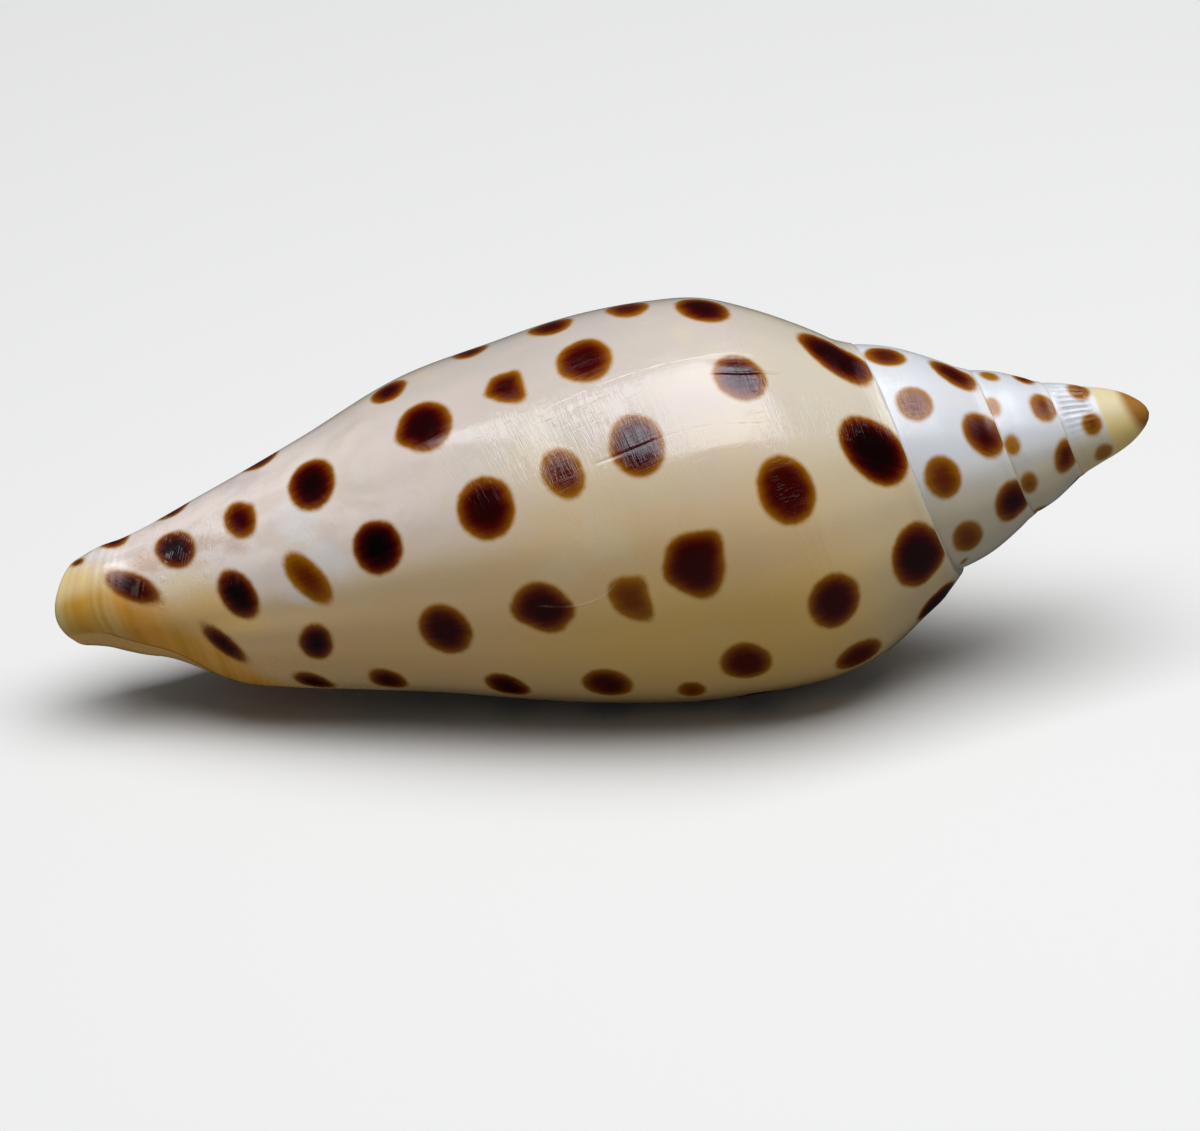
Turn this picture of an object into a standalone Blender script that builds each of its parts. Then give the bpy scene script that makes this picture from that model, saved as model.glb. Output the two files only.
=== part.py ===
"""Volute shell: one hollow, right-handed spiral shell lying on its aperture, in metres, +Z up.

The shell is worked out in millimetres around its own coiling axis. `turn` is the growth angle in
degrees, counted back from the outer lip, and `depth` is the distance from the point the whorls
coil down to. Every whorl is 0.64 of the size of the one that followed it.
"""
import bisect
import math

import bmesh
import bpy
from mathutils import Matrix

WHORL_RATIO = 0.64
LIP_SUTURE = 30.75
BODY_END = 95.0
TIP_DEPTH = 1.98
LIP_ANGLE = -135.0
STEPS = 36
APEX_TURN = 1360
EXPOSED_LEVELS = 6
BODY_LEVELS = 21
CALLUS = 0.25
END_CENTRE = (3.6, 2.35)
REST_ROLL = 4.1
REST_PITCH = 8.5


class Curve:
    """A smooth curve through points set by hand."""

    def __init__(self, points):
        self.x = [p[0] for p in points]
        self.y = [p[1] for p in points]
        gaps = [b - a for a, b in zip(self.x, self.x[1:])]
        rises = [(b - a) / g for a, b, g in zip(self.y, self.y[1:], gaps)]
        self.slope = [rises[0]]
        for i in range(1, len(gaps)):
            mean = (rises[i - 1] * gaps[i] + rises[i] * gaps[i - 1]) / (gaps[i] + gaps[i - 1])
            self.slope.append(mean * 0.3 if rises[i - 1] * rises[i] <= 0 else mean)
        self.slope.append(rises[-1])

    def at(self, x):
        k = min(max(bisect.bisect_right(self.x, x) - 1, 0), len(self.x) - 2)
        gap = self.x[k + 1] - self.x[k]
        t = (x - self.x[k]) / gap
        if t < 0:
            return self.y[k] + t * gap * self.slope[k]
        if t > 1:
            return self.y[k + 1] + (t - 1) * gap * self.slope[k + 1]
        return blend(t, gap, self.y[k], self.y[k + 1], self.slope[k], self.slope[k + 1])


def blend(t, gap, a, b, slope_a, slope_b):
    """Hermite curve from a to b."""
    return (
        (2 * t**3 - 3 * t**2 + 1) * a
        + (t**3 - 2 * t**2 + t) * gap * slope_a
        + (3 * t**2 - 2 * t**3) * b
        + (t**3 - t**2) * gap * slope_b
    )


def ease(a, b, x):
    """0 before a, 1 after b, smooth between."""
    t = min(max((x - a) / (b - a), 0.0), 1.0)
    return t * t * (3 - 2 * t)


# Radius of the body whorl against depth, along the lip and at three growth angles behind it.
LIP = Curve([
    (30.75, 13.8), (32.8, 15.3), (35.6, 17.3), (39.1, 19.4), (43.2, 21.1), (48.1, 22.1),
    (53, 22.4), (58.5, 22.1), (65.4, 21.0), (72.3, 19.1), (79.2, 16.4), (86.2, 13.0),
    (91.7, 9.8), (96, 7.0),
])
UPPER = Curve([
    (27, 12.15), (28.5, 13.1), (31, 14.8), (35, 17.2), (39.2, 19.1), (43.7, 19.8),
    (48.2, 20.0), (52.9, 19.8), (57.7, 19.2), (67.2, 17.8), (77.1, 14.4), (87, 11.25),
    (94, 9.1), (97.8, 8.4),
])
SIDE = Curve([
    (24.1, 10.9), (25.6, 11.9), (27.8, 13.3), (31.3, 15.5), (35, 17.3), (39, 18.3),
    (43, 18.5), (47, 18.2), (52, 17.5), (57, 16.7), (62, 15.5), (70, 13.1), (77.5, 10.3),
    (86.7, 6.6), (92, 3.8), (95, 2.3),
])
LOWER = Curve([
    (21.5, 10.0), (22.5, 11.1), (25.7, 13.3), (29, 15.3), (33, 16.6), (37.7, 17.0),
    (41.2, 16.85), (44.3, 16.65), (47.3, 16.3), (51.8, 15.4), (57.4, 14.0), (61.8, 12.7),
    (69.7, 10.3), (77.5, 8.4), (82.7, 7.2), (86.7, 6.0), (88.7, 4.9), (90.8, 3.5),
    (92.3, 2.6), (95.1, 1.5),
])
# The earlier whorls, at the size they would have at the lip.
SPIRE = Curve([
    (30.75, 13.84), (31.5, 14.35), (33, 15.2), (35.3, 16.5), (38, 18.0), (41, 19.5),
    (44, 20.6), (46, 21.15), (48.05, 21.6), (52, 22.3), (55, 22.5), (60, 22.2), (66, 21.2),
    (76.5, 18.8), (87.5, 15.3), (98.5, 11.9), (110, 9), (120, 7), (150, 4),
])
PILLAR = Curve([
    (40, 3.6), (50, 4.2), (60, 4.4), (70, 4.6), (77, 4.5), (84, 4.0), (90, 3.0), (95, 1.7),
    (100, 1.0), (106, 0.5),
])
# How far the lip lags behind its most forward point, in degrees, from the suture to the end.
LIP_LAG = Curve([
    (0, 18), (0.13, 12), (0.3, 5), (0.53, -1), (0.72, -3), (1.0, -1), (1.25, 4),
    (1.45, 8.5), (1.7, 13), (2.0, 15), (3.0, 15),
])
END_TAPER = Curve([
    (95, 1), (97, 0.95), (98.5, 0.86), (100, 0.76), (101, 0.69), (102, 0.62), (104, 0.56),
])
# How flat the siphonal end is below, as a share of its plain form.
END_FLAT = Curve([
    (94, 1), (95, 0.98), (96.3, 0.9), (97.6, 0.83), (99.5, 0.82), (101, 0.88), (102, 0.93),
    (104, 1),
])
SPIRE_SHIFT = Curve([(1, 0.45), (8, 0.4), (12, 0.15), (17, -0.1), (20, -0.03), (22, 0), (110, 0)])
# Radius of the smooth first whorls against depth.
DOME = Curve([
    (1.98, 0), (2.1, 0.45), (2.34, 0.86), (3.06, 1.6), (3.96, 2.25), (4.86, 2.71), (5.85, 3.1),
    (6.87, 3.42), (8, 3.78), (9, 4.08),
])
FOLDS = (87.5, 96.0, 104.7, 113.3)
STATIONS = (0.0, 105.0, 195.0, 285.0, 360.0, 465.0)


def grow(turn):
    return WHORL_RATIO ** (turn / 360.0)


def suture(turn):
    """Depth of the suture."""
    return LIP_SUTURE * grow(turn)


def depth_at(turn, level):
    """Depth of a level: 0 at the suture, 1 where the next suture falls, 2 at the end of the body."""
    start, mid = suture(turn), suture(turn - 360)
    if level <= 1:
        return start + (mid - start) * level
    return mid + (BODY_END - mid) * (level - 1)


def level_at(turn, depth):
    start, mid = suture(turn), suture(turn - 360)
    if depth <= mid:
        return (depth - start) / (mid - start)
    return 1 + (depth - mid) / (BODY_END - mid)


def inner_radius(turn, depth):
    """Radius of an earlier whorl, or of the central pillar below it."""
    scale = grow(turn)
    whorl = max(scale * SPIRE.at(depth / scale), 0.01)
    whorl *= 1.12 - 0.12 * ease(5.5, 10, depth)
    pillar = PILLAR.at(depth) * (1 - 0.2 * ease(360, 450, turn))
    return (whorl**6 + pillar**6) ** (1 / 6)


def outer_radius(turn, depth):
    """Radius of the outside of the shell."""
    if turn > 360:
        radius = inner_radius(turn, depth)
        return radius + (DOME.at(depth) - radius) * ease(1130, 1330, turn)
    level = level_at(turn, depth)
    places = [depth_at(s, level) for s in STATIONS]
    values = [c.at(d) for c, d in zip((LIP, UPPER, SIDE, LOWER), places)]
    values += [inner_radius(s, d) for s, d in zip(STATIONS[4:], places[4:])]
    gaps = [b - a for a, b in zip(STATIONS, STATIONS[1:])]
    rises = [(b - a) / g for a, b, g in zip(values, values[1:], gaps)]
    slopes = [rises[0]]
    for i in range(1, 5):
        slopes.append((rises[i - 1] * gaps[i] + rises[i] * gaps[i - 1]) / (gaps[i] + gaps[i - 1]))
    k = min(max(bisect.bisect_right(STATIONS, turn) - 1, 0), 3)
    t = (turn - STATIONS[k]) / gaps[k]
    if t < 0:
        return values[0] + t * gaps[0] * slopes[0]
    return blend(t, gaps[k], values[k], values[k + 1], slopes[k], slopes[k + 1])


def end_angle(y, z):
    """Direction around the siphonal end, in degrees from the back of the shell."""
    return math.degrees(math.atan2(-(y - END_CENTRE[0]), z - END_CENTRE[1]))


def place(turn, depth, radius, shrink=1.0):
    """Point of the shell, axis along X with the apex at high X, back of the shell up."""
    theta = math.radians(turn + LIP_ANGLE)
    y = -radius * math.sin(theta)
    z = radius * math.cos(theta)
    shift = SPIRE_SHIFT.at(depth)
    y += 0.5 * shift
    z += 0.87 * shift
    if depth > 94.0:
        held = min(depth, 104.0)
        k = END_TAPER.at(held) * shrink if depth > BODY_END else 1.0
        y = (y - END_CENTRE[0]) * k
        z = (z - END_CENTRE[1]) * k
        below = min(0.5 * y + 0.87 * z, 0.0) * (1 - END_FLAT.at(held))
        y += END_CENTRE[0] - 0.5 * below
        z += END_CENTRE[1] - 0.87 * below
    return (-depth, y, z)


def fasciole(turn, depth):
    """Height of the low band that runs round the siphonal end on the right."""
    across = math.exp(-(((turn - 184) / 17) ** 2))
    return 0.36 * across * math.exp(-(((depth - 92) / 5.5) ** 2))


def rim_depth(turn):
    """Depth of the siphonal rim: a wide shallow notch at the back, longest on the left."""
    _, y, z = place(turn, BODY_END, outer_radius(turn, BODY_END))
    lobe = 0.5 + 0.5 * math.cos(math.radians(end_angle(y, z) - 68))
    return 98.4 + 3.4 * lobe**2


class Mesh:
    """Points and faces, gathered before they become an object."""

    def __init__(self):
        self.points = []
        self.faces = []

    def point(self, xyz):
        self.points.append(xyz)
        return len(self.points) - 1

    def face(self, *corners):
        ring = []
        for c in corners:
            if c not in ring:
                ring.append(c)
        if len(ring) > 2:
            self.faces.append(ring)

    def make(self, name):
        data = bpy.data.meshes.new(name)
        data.from_pydata([tuple(c * 0.001 for c in p) for p in self.points], [], self.faces)
        work = bmesh.new()
        work.from_mesh(data)
        bmesh.ops.recalc_face_normals(work, faces=work.faces)
        bmesh.ops.triangulate(work, faces=work.faces)
        work.to_mesh(data)
        work.free()
        data.validate()
        made = bpy.data.objects.new(name, data)
        bpy.context.scene.collection.objects.link(made)
        return made


def lag(turn, level):
    """Degrees a growth line at this level lies behind the growth angle, fading away from the lip."""
    return LIP_LAG.at(level) * (1 - ease(0, 60, turn))


def outside():
    """The outside of the shell, filled."""
    mesh = Mesh()
    step = 360.0 / STEPS
    columns = int(APEX_TURN / step) + 1
    grid = {}
    body = [i / EXPOSED_LEVELS for i in range(EXPOSED_LEVELS)]
    body += [1 + i / BODY_LEVELS for i in range(BODY_LEVELS + 1)]
    cap = [2.25, 2.5, 2.75, 3.0]

    def spot(turn, level):
        if level <= 2:
            depth = depth_at(turn, level)
            return place(turn, depth, outer_radius(turn, depth) + fasciole(turn, depth))
        depth = BODY_END + (rim_depth(turn) - BODY_END) * (level - 2)
        return place(turn, depth, outer_radius(turn, BODY_END) + fasciole(turn, BODY_END))

    for i in range(STEPS + 1):
        turn = i * step
        for k, level in enumerate(body + cap):
            lean = lag(turn, level)
            if i == STEPS:
                lean = lag(0, 0) * (level if level <= 1 else max(0.0, 1 - (level - 1) / 0.3))
            grid[i, k] = mesh.point(spot(turn + lean, level))
    for i in range(STEPS + 1, columns + 1):
        turn = i * step
        for k in range(EXPOSED_LEVELS):
            lean = lag(turn - 360, 0) * k / EXPOSED_LEVELS
            grid[i, k] = mesh.point(spot(turn + lean, k / EXPOSED_LEVELS))
        grid[i, EXPOSED_LEVELS] = grid[i - STEPS, 0]
    grid[STEPS, EXPOSED_LEVELS] = grid[0, 0]

    last = len(body) + len(cap) - 1
    for i in range(columns):
        top = last if i < STEPS else EXPOSED_LEVELS
        for k in range(top):
            mesh.face(grid[i, k], grid[i, k + 1], grid[i + 1, k + 1], grid[i + 1, k])

    # The lip, rounded over, then flat across the aperture to the inner edge.
    edge = [grid[0, k] for k in range(last + 1)]
    lip_ends = []
    for shrink, forward in ((0.3, 0.4), (0.75, 0.55)):
        row = [edge[0]]
        for k in range(1, last + 1):
            level = (body + cap)[k]
            turn = lag(0, level)
            depth = depth_at(turn, min(level, 2.0))
            radius = outer_radius(turn, depth)
            if level > 2:
                depth = BODY_END + (rim_depth(turn) - BODY_END) * (level - 2)
            near = min(1.0, k / 3)
            ahead = math.degrees(forward * near / radius)
            row.append(mesh.point(place(turn - ahead, depth, radius - shrink * near)))
        for k in range(last):
            mesh.face(edge[k], edge[k + 1], row[k + 1], row[k])
        edge = row
        lip_ends.append(row[last])
    inner = [grid[STEPS, k] for k in range(EXPOSED_LEVELS, last + 1)]
    a, b = 0, 0
    while a < len(edge) - 1 or b < len(inner) - 1:
        next_a = -mesh.points[edge[a + 1]][0] if a < len(edge) - 1 else 1e9
        next_b = -mesh.points[inner[b + 1]][0] if b < len(inner) - 1 else 1e9
        if next_a < next_b:
            mesh.face(edge[a], edge[a + 1], inner[b])
            a += 1
        else:
            mesh.face(edge[a], inner[b + 1], inner[b])
            b += 1

    # The siphonal end, rounded over and closed.
    ring = [grid[i, last] for i in range(STEPS + 1)] + [row_end for row_end in reversed(lip_ends)]
    for shrink, out in ((0.93, 0.22), (0.86, 0.03)):
        row = []
        for v in ring:
            x, y, z = mesh.points[v]
            y = END_CENTRE[0] + (y - END_CENTRE[0]) * shrink
            z = END_CENTRE[1] + (z - END_CENTRE[1]) * shrink
            row.append(mesh.point((x - out, y, z)))
        for i in range(len(ring)):
            j = (i + 1) % len(ring)
            mesh.face(ring[i], ring[j], row[j], row[i])
        ring = row
    centre = mesh.point((-100.0, END_CENTRE[0], END_CENTRE[1]))
    for i in range(len(ring)):
        mesh.face(ring[i], ring[(i + 1) % len(ring)], centre)

    # The first whorls: a smooth dome over the start of the spiral.
    first = columns - STEPS
    base = [grid[first + i, 0] for i in range(STEPS)]
    angles = [math.radians((first + i) * step + LIP_ANGLE) for i in range(STEPS)]

    def dome_point(depth, angle):
        radius = DOME.at(depth)
        shift = SPIRE_SHIFT.at(depth)
        y = 0.5 * shift - radius * math.sin(angle)
        return mesh.point((-depth, y, 0.87 * shift + radius * math.cos(angle)))

    middle = [None]
    for i in range(1, STEPS):
        middle.append(dome_point((5.3 - mesh.points[base[i]][0]) / 2, angles[i]))
    ring = [dome_point(5.3, angle) for angle in angles]
    for i in range(1, STEPS - 1):
        mesh.face(base[i], base[i + 1], middle[i + 1], middle[i])
        mesh.face(middle[i], middle[i + 1], ring[i + 1], ring[i])
    mesh.face(base[-1], grid[columns, 0], middle[-1])
    mesh.face(middle[-1], grid[columns, 0], ring[0], ring[-1])
    half = EXPOSED_LEVELS // 2
    for k in range(EXPOSED_LEVELS, 0, -1):
        near = base[1] if k > half else middle[1]
        mesh.face(near, grid[columns, k], grid[columns, k - 1])
    mesh.face(base[1], grid[columns, half], middle[1])
    mesh.face(middle[1], grid[columns, 0], ring[0], ring[1])
    for depth in (4.4, 3.5, 2.8, 2.3, 2.06):
        row = [dome_point(depth, angle) for angle in angles]
        for i in range(STEPS):
            j = (i + 1) % STEPS
            mesh.face(ring[i], ring[j], row[j], row[i])
        ring = row
    tip = (-TIP_DEPTH, 0.5 * SPIRE_SHIFT.at(2), 0.87 * SPIRE_SHIFT.at(2))
    point = mesh.point(tip)
    for i in range(len(ring)):
        mesh.face(ring[i], ring[(i + 1) % len(ring)], point)
    return mesh


def wall(turn, depth):
    """Thickness of the outer wall."""
    thick = 1.3 + 0.7 * ease(0, 60, turn)
    if turn > 360:
        thick *= grow(turn - 360)
    return thick + (1.25 - thick) * ease(80, 95, depth)


def fold_height(turn, depth):
    """Height of the four oblique folds on the pillar."""
    height = 0.0
    for fold in FOLDS:
        place_on = depth / grow(turn + 360)
        height += max(0.0, math.cos(math.pi * min(1.0, abs(place_on - fold) / 4.3) / 2)) ** 2
    return 0.9 * height * ease(-8, 20, turn) * (1 - ease(300, 420, turn))


def hollow():
    """The space inside the shell, from in front of the aperture to deep in the spire."""
    mesh = Mesh()
    fine = 0.25
    outer_count = 15
    loops = []
    turn = -16.0
    while turn <= 412.0:
        def outer(depth):
            return outer_radius(turn, min(depth, BODY_END)) - wall(turn, depth)

        def inner(depth):
            if depth > BODY_END:
                return max(0.45, inner(BODY_END) * PILLAR.at(depth) / PILLAR.at(BODY_END))
            behind = inner_radius(max(turn + 360, 360.5), depth)
            if turn < 0:
                behind = max(behind, outer_radius(turn + 360, depth))
            return behind + CALLUS * min(1.0, grow(turn - 30)) + fold_height(turn, depth)

        depth = suture(turn) + 0.5
        while outer(depth) - inner(depth) < 0.45 * grow(turn):
            depth += fine
        start = depth
        limit = 104.0 - 10.0 * ease(145, 190, turn)
        while depth < limit and outer(depth) - inner(depth) >= 0.4 * grow(turn):
            depth += fine
        stop = limit if depth >= limit else depth - fine
        loop = []
        for i in range(outer_count):
            t = i / (outer_count - 1)
            t = t + 0.08 * math.sin(2 * math.pi * t) * -1
            d = start + (stop - start) * t
            loop.append(place(turn, d, max(outer(d), inner(d) + 0.4 * grow(turn))))
        marks = [start]
        scale = grow(turn + 360)
        first, final = scale * (FOLDS[0] - 4.4), scale * (FOLDS[3] + 4.3)
        marks += [start + (first - start) * t for t in (0.18, 0.4, 0.7)]
        for fold in FOLDS:
            marks += [scale * (fold - 4.35), scale * (fold - 1.6), scale * (fold + 1.6)]
        marks.append(final)
        marks += [final + (stop - final) * t for t in (0.2, 0.45, 0.7, 1.0)]
        marks = [min(max(m, start), stop) for m in marks]
        for j in range(1, len(marks)):
            marks[j] = max(marks[j], marks[j - 1] + 0.02)
        over = marks[-1] - stop
        if over > 0:
            for j in range(len(marks)):
                marks[j] = min(marks[j], stop - 0.02 * (len(marks) - 1 - j))
        for d in reversed(marks):
            loop.append(place(turn, d, inner(d)))
        loops.append([mesh.point(p) for p in loop])
        turn += 10.7
    for a, b in zip(loops, loops[1:]):
        for i in range(len(a)):
            j = (i + 1) % len(a)
            mesh.face(a[i], a[j], b[j], b[i])
    for loop in (loops[0], loops[-1]):
        outer_row = loop[:outer_count]
        inner_row = loop[outer_count:][::-1]
        a, b = 0, 0
        while a < len(outer_row) - 1 or b < len(inner_row) - 1:
            next_a = -mesh.points[outer_row[a + 1]][0] if a < len(outer_row) - 1 else 1e9
            next_b = -mesh.points[inner_row[b + 1]][0] if b < len(inner_row) - 1 else 1e9
            if next_a < next_b:
                mesh.face(outer_row[a], outer_row[a + 1], inner_row[b])
                a += 1
            else:
                mesh.face(outer_row[a], inner_row[b + 1], inner_row[b])
                b += 1
    return mesh


def lay_down(data):
    """Turn the shell onto its aperture, as it lies on a table, with the origin under its middle."""
    turned = Matrix.Rotation(math.radians(-REST_PITCH), 4, "Y") @ Matrix.Rotation(
        math.radians(REST_ROLL), 4, "X"
    )
    data.transform(turned)
    low = [min(v.co[i] for v in data.vertices) for i in range(3)]
    high = [max(v.co[i] for v in data.vertices) for i in range(3)]
    middle = ((low[0] + high[0]) / 2, (low[1] + high[1]) / 2, low[2])
    data.transform(Matrix.Translation((-middle[0], -middle[1], -middle[2])))


def shell_material():
    """Cream, glossy shell."""
    made = bpy.data.materials.new("shell")
    made.use_nodes = True
    surface = made.node_tree.nodes["Principled BSDF"]
    surface.inputs["Base Color"].default_value = (0.78, 0.68, 0.5, 1)
    surface.inputs["Roughness"].default_value = 0.25
    return made


def main():
    for old in list(bpy.data.objects):
        bpy.data.objects.remove(old)
    shell = outside().make("shell")
    space = hollow().make("space")
    cut = shell.modifiers.new("aperture", "BOOLEAN")
    cut.operation = "DIFFERENCE"
    cut.solver = "EXACT"
    cut.object = space
    bpy.context.view_layer.update()
    graph = bpy.context.evaluated_depsgraph_get()
    done = bpy.data.meshes.new_from_object(shell.evaluated_get(graph))
    shell.modifiers.clear()
    shell.data = done
    bpy.data.objects.remove(space)
    lay_down(done)
    done.materials.clear()
    done.materials.append(shell_material())
    for face in done.polygons:
        face.material_index = 0
    done.set_sharp_from_angle(angle=math.radians(35))


main()
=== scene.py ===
"""Looks of the volute shell: a glossy, spotted spiral shell lying on its aperture on a pale table.

The shell is worked out in millimetres around its own coiling axis, as a grower would read it.
`turn` is the growth angle in degrees, counted back from the outer lip, and `depth` is the distance
from the point that the whorls coil down to. Each whorl is 0.64 of the size of the one after it, so
`depth / grow(turn)`, called `row` below, names the same line of spots on every whorl.
"""
import logging
import math
from dataclasses import dataclass, field
from enum import Enum

import bmesh
import bpy
import numpy as np
from mathutils import Matrix, Vector
from mathutils.bvhtree import BVHTree


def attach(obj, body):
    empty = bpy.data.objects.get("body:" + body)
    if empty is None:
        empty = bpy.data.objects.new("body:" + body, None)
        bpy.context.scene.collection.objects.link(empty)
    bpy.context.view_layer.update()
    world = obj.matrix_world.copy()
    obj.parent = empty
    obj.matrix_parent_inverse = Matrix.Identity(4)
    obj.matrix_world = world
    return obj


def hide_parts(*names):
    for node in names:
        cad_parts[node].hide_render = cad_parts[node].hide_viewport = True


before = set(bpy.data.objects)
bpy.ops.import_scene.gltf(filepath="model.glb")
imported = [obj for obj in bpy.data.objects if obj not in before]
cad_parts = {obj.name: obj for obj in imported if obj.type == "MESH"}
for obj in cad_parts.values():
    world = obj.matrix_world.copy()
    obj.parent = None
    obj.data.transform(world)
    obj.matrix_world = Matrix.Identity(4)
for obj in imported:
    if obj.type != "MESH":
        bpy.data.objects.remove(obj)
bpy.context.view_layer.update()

BODY = "root"
NODE = "shell"
MM = 0.001
FULL_TURN = 360.0

Array = np.ndarray

log = logging.getLogger("volute")


def hermite(t: Array, gap: Array, a: Array, b: Array, rise_a: Array, rise_b: Array) -> Array:
    """Bend smoothly from one value to the next.

    Args:
        t: Share of the way, 0 to 1.
        gap: Length of the stretch that the slopes are measured over.
        a: Value at the start.
        b: Value at the end.
        rise_a: Slope at the start.
        rise_b: Slope at the end.

    Returns:
        The value at each share.
    """
    return (
        (2 * t**3 - 3 * t**2 + 1) * a
        + (t**3 - 2 * t**2 + t) * gap * rise_a
        + (3 * t**2 - 2 * t**3) * b
        + (t**3 - t**2) * gap * rise_b
    )


def ease(a: float, b: float, x: Array) -> Array:
    """Rise smoothly from 0 at a to 1 at b.

    Args:
        a: Where the rise starts.
        b: Where the rise ends.
        x: Places to read.

    Returns:
        The share, 0 to 1, at each place.
    """
    t = np.clip((np.asarray(x, float) - a) / (b - a), 0.0, 1.0)
    return t * t * (3 - 2 * t)


def bump(centre: float, width: float, x: Array) -> Array:
    """Rise to 1 at a centre and fall off on both sides.

    Args:
        centre: Where the top is.
        width: Half-width of the bell.
        x: Places to read.

    Returns:
        The height, 0 to 1, at each place.
    """
    return np.exp(-(((np.asarray(x, float) - centre) / width) ** 2))


class Curve:
    """A smooth curve through given points."""

    def __init__(self, *points: tuple[float, float]) -> None:
        """Keep the points and work out the slope at each.

        Args:
            points: Place and value pairs, in order of place.
        """
        self.x, self.y = np.array(points, float).T
        gaps = np.diff(self.x)
        rises = np.diff(self.y) / gaps
        inner = (rises[:-1] * gaps[1:] + rises[1:] * gaps[:-1]) / (gaps[1:] + gaps[:-1])
        inner = np.where(rises[:-1] * rises[1:] <= 0, 0.3 * inner, inner)
        self.slope = np.concatenate([rises[:1], inner, rises[-1:]])

    def at(self, x: Array) -> Array:
        """Read the curve, straight on beyond its ends.

        Args:
            x: Places to read.

        Returns:
            The value at each place.
        """
        x = np.asarray(x, float)
        k = np.clip(np.searchsorted(self.x, x, side="right") - 1, 0, len(self.x) - 2)
        gap = self.x[k + 1] - self.x[k]
        t = (x - self.x[k]) / gap
        within = hermite(
            np.clip(t, 0, 1), gap, self.y[k], self.y[k + 1], self.slope[k], self.slope[k + 1]
        )
        before = np.minimum(t, 0) * gap * self.slope[k]
        after = np.maximum(t - 1, 0) * gap * self.slope[k + 1]
        return within + before + after


# Radius of the body whorl against depth, along the lip and at three growth angles behind it.
LIP = Curve(
    (30.75, 13.8), (32.8, 15.3), (35.6, 17.3), (39.1, 19.4), (43.2, 21.1), (48.1, 22.1),
    (53, 22.4), (58.5, 22.1), (65.4, 21.0), (72.3, 19.1), (79.2, 16.4), (86.2, 13.0),
    (91.7, 9.8), (96, 7.0),
)
UPPER = Curve(
    (27, 12.15), (28.5, 13.1), (31, 14.8), (35, 17.2), (39.2, 19.1), (43.7, 19.8),
    (48.2, 20.0), (52.9, 19.8), (57.7, 19.2), (67.2, 17.8), (77.1, 14.4), (87, 11.25),
    (94, 9.1), (97.8, 8.4),
)
SIDE = Curve(
    (24.1, 10.9), (25.6, 11.9), (27.8, 13.3), (31.3, 15.5), (35, 17.3), (39, 18.3),
    (43, 18.5), (47, 18.2), (52, 17.5), (57, 16.7), (62, 15.5), (70, 13.1), (77.5, 10.3),
    (86.7, 6.6), (92, 3.8), (95, 2.3),
)
LOWER = Curve(
    (21.5, 10.0), (22.5, 11.1), (25.7, 13.3), (29, 15.3), (33, 16.6), (37.7, 17.0),
    (41.2, 16.85), (44.3, 16.65), (47.3, 16.3), (51.8, 15.4), (57.4, 14.0), (61.8, 12.7),
    (69.7, 10.3), (77.5, 8.4), (82.7, 7.2), (86.7, 6.0), (88.7, 4.9), (90.8, 3.5),
    (92.3, 2.6), (95.1, 1.5),
)
# The earlier whorls, at the size they would have at the lip.
SPIRE = Curve(
    (30.75, 13.84), (31.5, 14.35), (33, 15.2), (35.3, 16.5), (38, 18.0), (41, 19.5),
    (44, 20.6), (46, 21.15), (48.05, 21.6), (52, 22.3), (55, 22.5), (60, 22.2), (66, 21.2),
    (76.5, 18.8), (87.5, 15.3), (98.5, 11.9), (110, 9), (120, 7), (150, 4),
)
# Radius of the central pillar against depth.
PILLAR = Curve(
    (40, 3.6), (50, 4.2), (60, 4.4), (70, 4.6), (77, 4.5), (84, 4.0), (90, 3.0), (95, 1.7),
    (100, 1.0), (106, 0.5),
)
# How far the lip lags behind its most forward point, in degrees, from the suture to the end.
LIP_LAG = Curve(
    (0, 18), (0.13, 12), (0.3, 5), (0.53, -1), (0.72, -3), (1.0, -1), (1.25, 4),
    (1.45, 8.5), (1.7, 13), (2.0, 15), (3.0, 15),
)
# How far the siphonal end is drawn in on its own centre.
END_TAPER = Curve(
    (95, 1), (97, 0.95), (98.5, 0.86), (100, 0.76), (101, 0.69), (102, 0.62), (104, 0.56),
)
# How flat the siphonal end is below, as a share of its plain form.
END_FLAT = Curve(
    (94, 1), (95, 0.98), (96.3, 0.9), (97.6, 0.83), (99.5, 0.82), (101, 0.88), (102, 0.93),
    (104, 1),
)
# How far the whorls stand off the axis, in millimetres.
SPIRE_SHIFT = Curve(
    (1, 0.45), (8, 0.4), (12, 0.15), (17, -0.1), (20, -0.03), (22, 0), (110, 0),
)
# Radius of the smooth first whorls against depth.
DOME = Curve(
    (1.98, 0), (2.1, 0.45), (2.34, 0.86), (3.06, 1.6), (3.96, 2.25), (4.86, 2.71),
    (5.85, 3.1), (6.87, 3.42), (8, 3.78), (9, 4.08),
)
# How warm the ground is round the shell, against the angle from the back towards the right side.
FLANK = Curve(
    (-60, 0.3), (-10, 0), (30, 0.25), (50, 0.42), (60, 0.52), (75, 0.66), (95, 0.86), (125, 0.74),
    (180, 0.5), (240, 0.4), (300, 0.3),
)


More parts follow.
